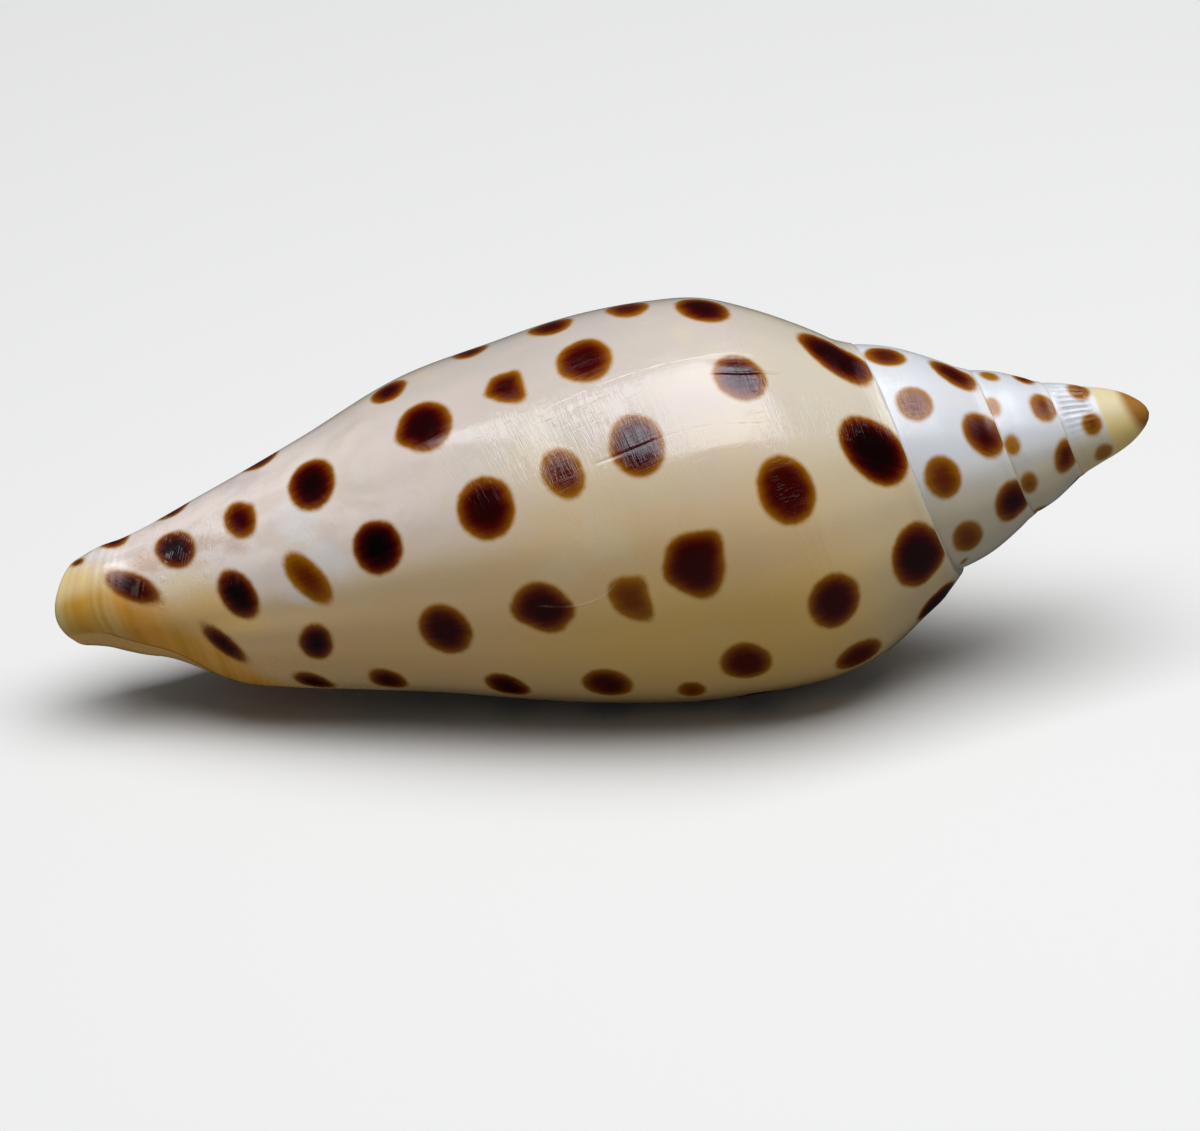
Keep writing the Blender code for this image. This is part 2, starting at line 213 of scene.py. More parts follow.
@dataclass(frozen=True)
class ShellForm:
    """The measured form of the shell: every surface as a function of turn and depth.

    Angles are in degrees and lengths in millimetres.
    """

    whorl_ratio: float = 0.64
    lip_suture: float = 30.75
    body_end: float = 95.0
    tip_depth: float = 1.98
    lip_angle: float = -135.0
    dome_starts: float = 1130.0
    dome_whole: float = 1330.0
    callus: float = 0.25
    # Direction across the axis that early whorls stand off in; the end is flat on its far side.
    lean_way: tuple[float, float] = (0.5, 0.87)
    end_centre: tuple[float, float] = (3.6, 2.35)
    end_limit: float = 104.0
    flat_from: float = 94.0
    # The siphonal rim: its least depth, how much further it reaches, and towards which angle.
    rim_least: float = 98.4
    rim_more: float = 3.4
    rim_lobe: float = 68.0
    # Degrees behind the lip over which its lag and its thin wall fade.
    lip_fades: float = 60.0
    # The outer wall: thickness at the lip, how much more further back, and at the end.
    lip_wall: float = 1.3
    more_wall: float = 0.7
    end_wall: float = 1.25
    end_wall_depths: tuple[float, float] = (80.0, 95.0)
    rest_roll: float = 4.1
    rest_pitch: float = 8.5
    # The folds on the pillar: their rows, half-width, height and turns.
    folds: tuple[float, ...] = (87.5, 96.0, 104.7, 113.3)
    fold_width: float = 4.3
    fold_rise: float = 0.9
    fold_starts: tuple[float, float] = (-8.0, 20.0)
    fold_ends: tuple[float, float] = (300.0, 420.0)
    # How much wider the first whorls are, and the depths over which that fades.
    first_wider: float = 0.12
    first_depths: tuple[float, float] = (5.5, 10.0)
    # How much thinner the pillar gets, over which turns, and how sharply it meets a whorl.
    pillar_thinner: float = 0.2
    pillar_turns: tuple[float, float] = (360.0, 450.0)
    pillar_blend: int = 6
    # Turns at which the radius is read from a curve; it bends smoothly between them.
    stations: tuple[float, ...] = (0.0, 105.0, 195.0, 285.0, 360.0, 465.0)

    def grow(self, turn: Array) -> Array:
        """Give the size of the whorl at a turn, as a share of the size at the lip."""
        return self.whorl_ratio ** (np.asarray(turn, float) / FULL_TURN)

    def suture(self, turn: Array) -> Array:
        """Give the depth of the suture at a turn."""
        return self.lip_suture * self.grow(turn)

    def depth_at(self, turn: Array, level: Array) -> Array:
        """Turn a level into a depth.

        Args:
            turn: Growth angles.
            level: 0 at the suture, 1 where the next suture falls, 2 at the end of the body.

        Returns:
            The depths.
        """
        start = self.suture(turn)
        middle = self.suture(np.asarray(turn, float) - FULL_TURN)
        upper = start + (middle - start) * level
        return np.where(level <= 1, upper, middle + (self.body_end - middle) * (level - 1))

    def level_at(self, turn: Array, depth: Array) -> Array:
        """Turn a depth into a level, the reverse of depth_at.

        Args:
            turn: Growth angles.
            depth: Depths.

        Returns:
            The levels.
        """
        start = self.suture(turn)
        middle = self.suture(np.asarray(turn, float) - FULL_TURN)
        upper = (depth - start) / (middle - start)
        return np.where(depth <= middle, upper, 1 + (depth - middle) / (self.body_end - middle))

    def inner_radius(self, turn: Array, depth: Array) -> Array:
        """Give the radius of an earlier whorl, or of the central pillar below it.

        Args:
            turn: Growth angles, 360 or more.
            depth: Depths.

        Returns:
            The radii.
        """
        scale = self.grow(turn)
        whorl = np.maximum(scale * SPIRE.at(depth / scale), 0.01)
        more = self.first_wider
        whorl = whorl * (1 + more - more * ease(*self.first_depths, depth))
        pillar = PILLAR.at(depth) * (1 - self.pillar_thinner * ease(*self.pillar_turns, turn))
        sharp = self.pillar_blend
        return (whorl**sharp + np.maximum(pillar, 0.0) ** sharp) ** (1 / sharp)

    def outer_radius(self, turn: Array, depth: Array) -> Array:
        """Give the radius of the outside of the shell.

        Args:
            turn: Growth angles.
            depth: Depths.

        Returns:
            The radii.
        """
        turn, depth = np.broadcast_arrays(np.asarray(turn, float), np.asarray(depth, float))
        early = self.inner_radius(np.maximum(turn, FULL_TURN), depth)
        early = early + (DOME.at(depth) - early) * ease(self.dome_starts, self.dome_whole, turn)
        level = self.level_at(turn, depth)
        places = [self.depth_at(station, level) for station in self.stations]
        values = [c.at(d) for c, d in zip((LIP, UPPER, SIDE, LOWER), places)]
        values += [self.inner_radius(s, d) for s, d in zip(self.stations[4:], places[4:])]
        values = np.array(values)
        gaps = np.diff(self.stations)
        rises = np.diff(values, axis=0) / gaps.reshape((-1,) + (1,) * turn.ndim)
        slopes = [rises[0]]
        for i in range(1, 5):
            both = gaps[i] + gaps[i - 1]
            slopes.append((rises[i - 1] * gaps[i] + rises[i] * gaps[i - 1]) / both)
        slopes = np.array(slopes)
        k = np.clip(np.searchsorted(self.stations, turn, side="right") - 1, 0, 3)
        gap = gaps[k]
        t = (turn - np.array(self.stations)[k]) / gap

        def pick(table: Array, index: Array) -> Array:
            """Take one row of a table for each place."""
            return np.take_along_axis(table, index[None], axis=0)[0]

        body = hermite(
            np.clip(t, 0, 1), gap, pick(values, k), pick(values, k + 1), pick(slopes, k),
            pick(slopes, k + 1),
        )
        body = body + np.minimum(t, 0) * gap * slopes[0]
        return np.where(turn > FULL_TURN, early, body)

    def place(self, turn: Array, depth: Array, radius: Array) -> Array:
        """Find points of the shell, axis along X with the apex at high X, back of the shell up.

        Args:
            turn: Growth angles.
            depth: Depths.
            radius: Distances from the axis.

        Returns:
            Points, one row each, in millimetres.
        """
        turn, depth, radius = np.broadcast_arrays(turn, depth, radius)
        angle = np.radians(turn + self.lip_angle)
        shift = SPIRE_SHIFT.at(depth)
        across, up = self.lean_way
        y = across * shift - radius * np.sin(angle)
        z = up * shift + radius * np.cos(angle)
        held = np.minimum(depth, self.end_limit)
        taper = np.where(depth > self.body_end, END_TAPER.at(held), 1.0)
        y = (y - self.end_centre[0]) * taper
        z = (z - self.end_centre[1]) * taper
        flat = np.where(depth > self.flat_from, END_FLAT.at(held), 1.0)
        below = np.minimum(across * y + up * z, 0.0) * (1 - flat)
        y = y + self.end_centre[0] - across * below
        z = z + self.end_centre[1] - up * below
        return np.stack([-depth, y, z], axis=-1)

    def rim_depth(self, turn: Array) -> Array:
        """Give the depth of the siphonal rim: a wide shallow notch, longest on the left.

        Args:
            turn: Growth angles.

        Returns:
            The depths.
        """
        end = self.place(turn, self.body_end, self.outer_radius(turn, self.body_end))
        across = -(end[..., 1] - self.end_centre[0])
        angle = np.arctan2(across, end[..., 2] - self.end_centre[1])
        lobe = 0.5 + 0.5 * np.cos(angle - math.radians(self.rim_lobe))
        return self.rim_least + self.rim_more * lobe**2

    def lag(self, turn: Array, level: Array) -> Array:
        """Give the degrees that a growth line lies behind its turn, fading away from the lip."""
        return LIP_LAG.at(level) * (1 - ease(0, self.lip_fades, turn))

    def wall(self, turn: Array, depth: Array) -> Array:
        """Give the thickness of the outer wall, drawn thin where the lip flares.

        Args:
            turn: Growth angles.
            depth: Depths.

        Returns:
            The thicknesses.
        """
        thick = self.lip_wall + self.more_wall * ease(0, self.lip_fades, turn)
        thick = thick * np.where(turn > FULL_TURN, self.grow(turn - FULL_TURN), 1.0)
        return thick + (self.end_wall - thick) * ease(*self.end_wall_depths, depth)

    def fold_height(self, turn: Array, depth: Array) -> Array:
        """Give the height of the oblique folds on the pillar.

        Args:
            turn: Growth angles.
            depth: Depths.

        Returns:
            The heights.
        """
        row = depth / self.grow(turn + FULL_TURN)
        height = np.zeros_like(row)
        for fold in self.folds:
            near = np.minimum(1.0, np.abs(row - fold) / self.fold_width)
            height = height + np.cos(math.pi * near / 2) ** 2
        height = self.fold_rise * height
        return height * ease(*self.fold_starts, turn) * (1 - ease(*self.fold_ends, turn))

    def at_rest(self) -> Array:
        """Find the turn that lays the shell on its aperture.

        Returns:
            A 3 by 3 matrix.
        """
        turned = Matrix.Rotation(math.radians(-self.rest_pitch), 3, "Y")
        turned = turned @ Matrix.Rotation(math.radians(self.rest_roll), 3, "X")
        return np.array(turned)


class Side(Enum):
    """Which face of the shell a point lies on."""

    OUTSIDE = 0
    WALL = 1
    PILLAR = 2


class Facets:
    """Triangles with the shell coordinates of their corners, gathered before they become a mesh."""

    def __init__(self) -> None:
        """Start with nothing."""
        self.points: list[Array] = []
        self.triangles: list[Array] = []
        self.marks: list[Array] = []
        self.count = 0

    def add(self, points: Array) -> Array:
        """Keep points and give back their numbers, in the same layout.

        Args:
            points: Points, with their three coordinates on the last axis.

        Returns:
            One number for each point.
        """
        flat = points.reshape(-1, 3)
        numbers = np.arange(self.count, self.count + len(flat)).reshape(points.shape[:-1])
        self.points.append(flat)
        self.count += len(flat)
        return numbers

    def join(self, corners: Array, marks: Array) -> None:
        """Keep triangles, leaving out those with a doubled corner.

        Args:
            corners: Three point numbers to a row.
            marks: Turn, depth and side of each corner.
        """
        a, b, c = corners.T
        whole = (a != b) & (b != c) & (a != c)
        self.triangles.append(corners[whole])
        self.marks.append(marks[whole])

    def net(self, index: Array, marks: Array) -> None:
        """Fill a grid of points with triangles.

        Args:
            index: Point numbers, rows by columns.
            marks: Turn, depth and side of each point, in the same layout.
        """
        a, b, c, d = index[:-1, :-1], index[:-1, 1:], index[1:, 1:], index[1:, :-1]
        ma, mb, mc, md = marks[:-1, :-1], marks[:-1, 1:], marks[1:, 1:], marks[1:, :-1]
        first = np.stack([a, b, c], -1).reshape(-1, 3)
        second = np.stack([a, c, d], -1).reshape(-1, 3)
        self.join(first, np.stack([ma, mb, mc], -2).reshape(-1, 3, 3))
        self.join(second, np.stack([ma, mc, md], -2).reshape(-1, 3, 3))

    def zip(self, left: Array, right: Array, marks: tuple[Array, Array]) -> None:
        """Join two rows of points that run side by side, stepping down both by depth.

        Args:
            left: Point numbers of one row, shallow end first.
            right: Point numbers of the other row.
            marks: Turn, depth and side of the points of each row.
        """
        points = np.concatenate(self.points)
        down_left, down_right = -points[left, 0], -points[right, 0]
        corners, signs = [], []
        i, j = 0, 0
        while i < len(left) - 1 or j < len(right) - 1:
            next_left = down_left[i + 1] if i < len(left) - 1 else math.inf
            next_right = down_right[j + 1] if j < len(right) - 1 else math.inf
            if next_left < next_right:
                corners.append((left[i], left[i + 1], right[j]))
                signs.append((marks[0][i], marks[0][i + 1], marks[1][j]))
                i += 1
            else:
                corners.append((left[i], right[j + 1], right[j]))
                signs.append((marks[0][i], marks[1][j + 1], marks[1][j]))
                j += 1
        self.join(np.array(corners), np.array(signs))

    def fan(self, ring: Array, tip: int, marks: Array, tip_mark: Array) -> None:
        """Close a ring of points with triangles to one point.

        Args:
            ring: Point numbers around the ring.
            tip: Number of the point that closes it.
            marks: Turn, depth and side of the ring's points.
            tip_mark: Turn, depth and side of the closing point.
        """
        after = np.roll(ring, -1)
        corners = np.stack([ring, after, np.full(len(ring), tip)], -1)
        tips = np.broadcast_to(tip_mark, marks.shape)
        self.join(corners, np.stack([marks, np.roll(marks, -1, axis=0), tips], -2))

    def all_points(self) -> Array:
        """Give every point, one row each."""
        return np.concatenate(self.points)

    def all_triangles(self) -> Array:
        """Give every triangle, three point numbers to a row."""
        return np.concatenate(self.triangles)

    def all_marks(self) -> Array:
        """Give turn, depth and side of every triangle's corners."""
        return np.concatenate(self.marks)

    def make(self, name: str) -> bpy.types.Object:
        """Turn the triangles into an object whose faces look outward.

        Args:
            name: Name of the object.

        Returns:
            The object, in millimetres.
        """
        data = bpy.data.meshes.new(name)
        data.from_pydata(self.all_points().tolist(), [], self.all_triangles().tolist())
        work = bmesh.new()
        work.from_mesh(data)
        bmesh.ops.recalc_face_normals(work, faces=work.faces)
        work.to_mesh(data)
        work.free()
        made = bpy.data.objects.new(name, data)
        bpy.context.scene.collection.objects.link(made)
        return made


def marks_of(turn: Array, depth: Array, side: Side) -> Array:
    """Pack shell coordinates for Facets.

    Args:
        turn: Growth angles.
        depth: Depths.
        side: Face of the shell.

    Returns:
        Turn, depth and side on the last axis.
    """
    turn, depth = np.broadcast_arrays(np.asarray(turn, float), np.asarray(depth, float))
    return np.stack([turn, depth, np.full(turn.shape, float(side.value))], -1)


@dataclass
class Skin:
    """The outside of the shell, filled: whorls, rounded lip, siphonal end and first whorls."""

    form: ShellForm
    # Columns to a turn, the turn of the last one, and the points of a column by its stretches.
    steps: int = 180
    apex_turn: float = 1360.0
    exposed: int = 24
    body: int = 120
    cap: int = 10
    # Millimetres inward and forward of each row that rounds the lip.
    lip_rows: tuple[tuple[float, float], ...] = (
        (0.06, 0.2), (0.18, 0.36), (0.36, 0.48), (0.6, 0.55), (0.85, 0.54), (1.08, 0.44),
        (1.28, 0.24), (1.42, 0.0),
    )
    # Share of the rim's size and millimetres outward of each ring that rounds the end.
    end_rings: tuple[tuple[float, float], ...] = (
        (0.985, 0.1), (0.96, 0.19), (0.93, 0.22), (0.89, 0.16), (0.86, 0.03), (0.8, -0.1),
        (0.68, -0.1), (0.5, -0.05), (0.3, 0.0),
    )
    end_turns_in: float = 0.86
    end_floor: float = 100.0
    crowding: float = 0.62
    last_levels: tuple[float, float] = (0.972, 0.988)
    lean_fades: float = 0.3
    lip_thins: float = 0.35
    # Relief at the lip's size, in millimetres: the rim below the suture with its reach, then the
    # groove above the next suture and the pinch below the rim with their levels and half-widths.
    seam_rim: tuple[float, float] = (0.15, 0.035)
    groove: tuple[float, float, float] = (-0.1, 0.972, 0.02)
    pinch: tuple[float, float, float] = (-0.14, 0.1, 0.05)
    # Growth waves: height, waves to a turn, lean with the rows and start.
    waves: tuple[tuple[float, ...], ...] = ((0.05, 7.3, 0.11, 0.0), (0.035, 17.0, 0.07, 1.0))
    # Ribs of the early whorls: height, ribs to a turn, middle turn and half-width.
    ribs: tuple[float, float, float, float] = (0.42, 44.0, 1231.0, 32.0)
    # The swelling near the siphonal end: height, then turn and depth with their half-widths.
    fasciole: tuple[float, ...] = (0.36, 184.0, 17.0, 92.0, 5.5)
    # Depths of the rings that close the first whorls.
    dome_rings: tuple[float, ...] = (
        5.3, 4.9, 4.5, 4.1, 3.75, 3.4, 3.1, 2.85, 2.62, 2.44, 2.3, 2.19, 2.11, 2.05, 2.01,
    )
    facets: Facets = field(default_factory=Facets)

    def levels(self) -> Array:
        """Give the levels of one column, close together on both sides of a suture.

        Returns:
            The levels, from 0 at the suture to 3 at the siphonal rim.
        """
        share = np.arange(self.exposed) / self.exposed
        upper = share - self.crowding * np.sin(2 * math.pi * share) / (2 * math.pi)
        upper[-2:] = self.last_levels
        lower = 1 + np.arange(self.body + 1) / self.body
        rim = 2 + (1 + np.arange(self.cap)) / self.cap
        return np.concatenate([upper, lower, rim])

    def relief(self, turn: Array, depth: Array, level: Array) -> Array:
        """Give the fine relief that growth left on the outside, in millimetres.

        Args:
            turn: Growth angles.
            depth: Depths.
            level: Levels, 0 at the suture.

        Returns:
            Height above the plain form.
        """
        scale = self.form.grow(turn)
        row = depth / scale
        high, reach = self.seam_rim
        rim = high * np.exp(-np.maximum(level, 0.0) / reach)
        high, *spread = self.groove
        groove = high * bump(*spread, level) * (turn > FULL_TURN)
        high, *spread = self.pinch
        pinch = high * bump(*spread, level)
        waves = np.zeros_like(row)
        for high, count, lean, start in self.waves:
            waves = waves + high * np.sin(np.radians(turn * count) + lean * row + start)
        waves = waves * ease(0.05, 0.2, level) * (1 - ease(1.75, 2.0, level))
        high, count, *spread = self.ribs
        ribs = np.cos(np.radians(turn * count)) * high * bump(*spread, turn)
        ribs = ribs * ease(0.05, 0.3, level) * (1 - ease(0.8, 0.97, level))
        smooth = 1 - ease(1240, 1330, turn)
        high, middle, width, low, tall = self.fasciole
        ridge = high * bump(middle, width, turn) * bump(low, tall, depth)
        return scale * ((rim + groove + pinch + waves) * smooth + ribs + ridge)

    def column_points(self, turn: Array, level: Array) -> tuple[Array, Array]:
        """Find the points of the outside at given turns and levels.

        Args:
            turn: Growth angles.
            level: Levels, up to 3 at the siphonal rim.

        Returns:
            Points, and their depths.
        """
        turn, level = np.broadcast_arrays(turn, level)
        depth = self.form.depth_at(turn, np.minimum(level, 2.0))
        radius = self.form.outer_radius(turn, depth) + self.relief(turn, depth, level)
        beyond = np.maximum(level - 2.0, 0.0)
        depth = depth + (self.form.rim_depth(turn) - self.form.body_end) * beyond
        return self.form.place(turn, depth, radius), depth

    def build(self) -> Facets:
        """Make the whole outside as one closed body.

        Returns:
            Its triangles.
        """
        step = FULL_TURN / self.steps
        columns = int(self.apex_turn / step) + 1
        levels = self.levels()
        whorls, marks = self.build_whorls(step, columns, levels)
        lip, lip_marks = self.build_lip(whorls, marks, levels)
        inner = slice(self.exposed, None)
        last = whorls[self.steps, inner]
        self.facets.zip(lip[-1], last, (lip_marks[-1], marks[self.steps, inner]))
        self.build_end(whorls, marks, lip, lip_marks)
        self.build_dome(whorls, marks, step, columns)
        return self.facets

    def build_whorls(self, step: float, columns: int, levels: Array) -> tuple[Array, Array]:
        """Make the coiled outside.

        Args:
            step: Degrees between columns.
            columns: Number of the last column.
            levels: Levels of a column.

        Returns:
            Point numbers by column and level, and the marks of those points.
        """
        form, steps, exposed = self.form, self.steps, self.exposed
        index = np.full((columns + 1, len(levels)), -1)
        marks = np.zeros((columns + 1, len(levels), 3))
        turn = (np.arange(steps) * step)[:, None]
        lean = form.lag(turn, levels[None])
        points, depth = self.column_points(turn + lean, levels[None])
        index[:steps] = self.facets.add(points)
        marks[:steps] = marks_of(turn + lean, depth, Side.OUTSIDE)
        after = np.maximum(0, 1 - (levels - 1) / self.lean_fades)
        lean = form.lag(0, 0) * np.where(levels <= 1, levels, after)
        points, depth = self.column_points(FULL_TURN + lean, levels)
        index[steps] = self.facets.add(points)
        marks[steps] = marks_of(FULL_TURN + lean, depth, Side.OUTSIDE)
        turn = (np.arange(steps + 1, columns + 1) * step)[:, None]
        lean = form.lag(turn - FULL_TURN, 0) * levels[None, :exposed]
        points, depth = self.column_points(turn + lean, levels[None, :exposed])
        index[steps + 1 :, :exposed] = self.facets.add(points)
        marks[steps + 1 :, :exposed] = marks_of(turn + lean, depth, Side.OUTSIDE)
        index[steps:, exposed] = index[: columns + 1 - steps, 0]
        marks[steps:, exposed] = marks[: columns + 1 - steps, 0] + (FULL_TURN, 0, 0)
        self.facets.net(index[: steps + 1], marks[: steps + 1])
        self.facets.net(index[steps:, : exposed + 1], marks[steps:, : exposed + 1])
        return index, marks

    def build_lip(
        self, whorls: Array, marks: Array, levels: Array
    ) -> tuple[list[Array], list[Array]]:
        """Round the outer lip over from the outside to the inside.

        Args:
            whorls: Point numbers of the whorls.
            marks: Marks of the whorls.
            levels: Levels of a column.

        Returns:
            Point numbers and marks of each row, the outside edge first.
        """
        rows, row_marks = [whorls[0]], [marks[0]]
        turn = self.form.lag(0, levels)
        depth = self.form.depth_at(turn, np.minimum(levels, 2.0))
        radius = self.form.outer_radius(turn, depth)
        height = self.relief(turn, depth, levels)
        depth = depth + (self.form.rim_depth(turn) - self.form.body_end) * np.maximum(levels - 2, 0)
        near = np.minimum(1.0, levels / self.lip_thins)
        for shrink, forward in self.lip_rows:
            ahead = np.degrees(forward * near / radius)
            points = self.form.place(turn - ahead, depth, radius + height - shrink * near)
            row = self.facets.add(points)
            row[0] = whorls[0, 0]
            rows.append(row)
            row_marks.append(marks_of(turn - ahead, depth, Side.OUTSIDE))
        self.facets.net(np.array(rows), np.array(row_marks))
        return rows, row_marks

    def build_end(
        self, whorls: Array, marks: Array, lip: list[Array], lip_marks: list[Array]
    ) -> None:
        """Round the siphonal end over and close it.

        Args:
            whorls: Point numbers of the whorls.
            marks: Marks of the whorls.
            lip: Point numbers of the lip's rows.
            lip_marks: Marks of the lip's rows.
        """
        turned = [row[-1] for row in reversed(lip[1:])]
        turned_marks = [row[-1] for row in reversed(lip_marks[1:])]
        ring = np.array([*whorls[: self.steps + 1, -1], *turned])
        ring_marks = np.array([*marks[: self.steps + 1, -1], *turned_marks])
        edge = self.facets.all_points()[ring]
        middle = np.array(self.form.end_centre)
        rows, row_marks = [ring], [ring_marks]
        for shrink, out in self.end_rings:
            points = edge.copy()
            points[:, 1:] = middle + (edge[:, 1:] - middle) * shrink
            inward = (self.end_turns_in - min(shrink, self.end_turns_in)) / self.end_turns_in
            points[:, 0] = edge[:, 0] - out + (-self.end_floor - edge[:, 0]) * inward
            rows.append(self.facets.add(points))
            row_marks.append(ring_marks)
        index = np.array(rows)
        stack = np.array(row_marks)
        self.facets.net(np.hstack([index, index[:, :1]]), np.hstack([stack, stack[:, :1]]))
        tip = self.facets.add(np.array([[-self.end_floor, *middle]]))[0]
        tip_mark = marks_of(180.0, self.end_floor, Side.OUTSIDE)
        self.facets.fan(rows[-1], tip, ring_marks, tip_mark)

    def build_dome(self, whorls: Array, marks: Array, step: float, columns: int) -> None:
        """Close the start of the spiral with the smooth first whorls.

        Args:
            whorls: Point numbers of the whorls.
            marks: Marks of the whorls.
            step: Degrees between columns.
            columns: Number of the last column.
        """
        first = columns - self.steps
        turns = (first + np.arange(self.steps + 1)) * step
        base = whorls[first : first + self.steps + 1, 0]
        base_depth = -self.facets.all_points()[base, 0]
        between = 8
        rows, row_marks = [base], [marks[first : first + self.steps + 1, 0]]
        drop = self.dome_rings[0] - base_depth
        depths = [base_depth + drop * k / between for k in range(1, between)]
        depths += [np.full(self.steps + 1, d) for d in self.dome_rings]
        for count, depth in enumerate(depths, 1):
            points = self.form.place(turns, depth, DOME.at(depth))
            row = self.facets.add(points)
            if count >= between:
                row[-1] = row[0]
            rows.append(row)
            row_marks.append(marks_of(turns, depth, Side.OUTSIDE))
        index = np.array(rows)
        stack = np.array(row_marks)
        self.facets.net(index[: between + 1, 1:], stack[: between + 1, 1:])
        self.facets.net(index[between:], stack[between:])
        seam = [*whorls[columns, self.exposed : 0 : -1], *index[: between + 1, -1]]
        seam_marks = [*marks[columns, self.exposed : 0 : -1], *stack[: between + 1, -1]]
        near, near_marks = index[between::-1, 1], stack[between::-1, 1]
        seam, seam_marks = np.array(seam)[::-1], np.array(seam_marks)[::-1]
        self.facets.zip(seam, near, (seam_marks, near_marks))
        tip_depth = self.form.tip_depth
        tip = self.facets.add(self.form.place(np.array([0.0]), np.array([tip_depth]), 0.0))[0]
        tip_mark = marks_of(turns[-1], tip_depth, Side.OUTSIDE)
        self.facets.fan(rows[-1][:-1], tip, stack[-1][:-1], tip_mark)


@dataclass
class Cavity:
    """The space inside the shell, from in front of the aperture to deep in the spire."""

    form: ShellForm
    # Turns of the first and last sections, degrees between sections and points of a section.
    starts: float = -16.0
    ends: float = 412.0
    step: float = 3.0
    wall_points: int = 46
    pillar_points: int = 112
    fine: float = 0.05
    canal_end: float = 104.0
    # How much shorter the cavity gets, over which turns.
    canal_shorter: float = 10.0
    canal_turns: tuple[float, float] = (145.0, 190.0)
    seam_gap: float = 0.5
    # Widths at which a section opens and shuts, at the lip's size.
    opens: float = 0.45
    shuts: float = 0.4
    crowding: float = 0.08
    least_pillar: float = 0.45
    thin_callus: float = 0.03
    callus_turns: tuple[float, float] = (-3.0, 14.0)
    facets: Facets = field(default_factory=Facets)

    def outer(self, turn: float, depth: Array) -> Array:
        """Give the radius of the cavity's outer side."""
        radius = self.form.outer_radius(turn, np.minimum(depth, self.form.body_end))
        return radius - self.form.wall(turn, depth)

    def inner(self, turn: float, depth: Array) -> Array:
        """Give the radius of the cavity's inner side: earlier whorl, callus and folds.

        Args:
            turn: Growth angle.
            depth: Depths.

        Returns:
            The radii.
        """
        form = self.form
        held = np.minimum(depth, form.body_end)
        behind = form.inner_radius(max(turn + FULL_TURN, 360.5), held)
        if turn < 0:
            behind = np.maximum(behind, form.outer_radius(turn + FULL_TURN, held))
        callus = (form.callus - self.thin_callus) * ease(*self.callus_turns, turn)
        callus = self.thin_callus + callus
        radius = behind + callus * min(1.0, float(form.grow(turn - 30)))
        radius = radius + form.fold_height(turn, held)
        past = radius * PILLAR.at(depth) / PILLAR.at(form.body_end)
        return np.where(depth > form.body_end, np.maximum(self.least_pillar, past), radius)

    def loop(self, turn: float) -> tuple[Array, Array]:
        """Find one closed section of the cavity.

        Args:
            turn: Growth angle of the section.

        Returns:
            Its points, outer side first, and their marks.
        """
        form = self.form
        size = float(form.grow(turn))
        limit = self.canal_end - self.canal_shorter * float(ease(*self.canal_turns, turn))
        top = float(form.suture(turn)) + self.seam_gap
        depth = np.arange(top, limit + self.fine, self.fine)
        gap = self.outer(turn, depth) - self.inner(turn, depth)
        first = int(np.argmax(gap >= self.opens * size))
        shut = np.nonzero(gap[first:] < self.shuts * size)[0]
        last = first + int(shut[0]) - 1 if len(shut) else len(depth) - 1
        start, stop = depth[first], min(depth[last], limit)
        share = np.arange(self.wall_points) / (self.wall_points - 1)
        share = share - self.crowding * np.sin(2 * math.pi * share)
        down = start + (stop - start) * share
        wall = np.maximum(self.outer(turn, down), self.inner(turn, down) + self.shuts * size)
        back = start + (stop - start) * np.linspace(1, 0, self.pillar_points)
        pillar = self.inner(turn, back)
        points = np.concatenate([form.place(turn, down, wall), form.place(turn, back, pillar)])
        signs = [marks_of(turn, down, Side.WALL), marks_of(turn, back, Side.PILLAR)]
        return points, np.concatenate(signs)

    def build(self) -> Facets:
        """Make the cavity as one closed body.

        Returns:
            Its triangles.
        """
        turns = np.arange(self.starts, self.ends + 0.01, self.step)
        sections = [self.loop(float(turn)) for turn in turns]
        index = self.facets.add(np.array([points for points, _ in sections]))
        marks = np.array([signs for _, signs in sections])
        self.facets.net(np.hstack([index, index[:, :1]]), np.hstack([marks, marks[:, :1]]))
        for k in (0, -1):
            split = self.wall_points
            wall, pillar = index[k, :split], index[k, split:][::-1]
            self.facets.zip(wall, pillar, (marks[k, :split], marks[k, split:][::-1]))
        return self.facets


@dataclass(frozen=True)
class Spot:
    """One dark spot: where it lies, its half sizes in millimetres, its lean and how dark it is.

    A tone of 1 is black in the middle, and a tone of 0.1 is a thin amber.
    """

    turn: float
    row: float
    long: float
    wide: float
    lean: float = 100.0
    tone: float = 1.0
    horns: tuple[tuple[float, float], ...] = ()


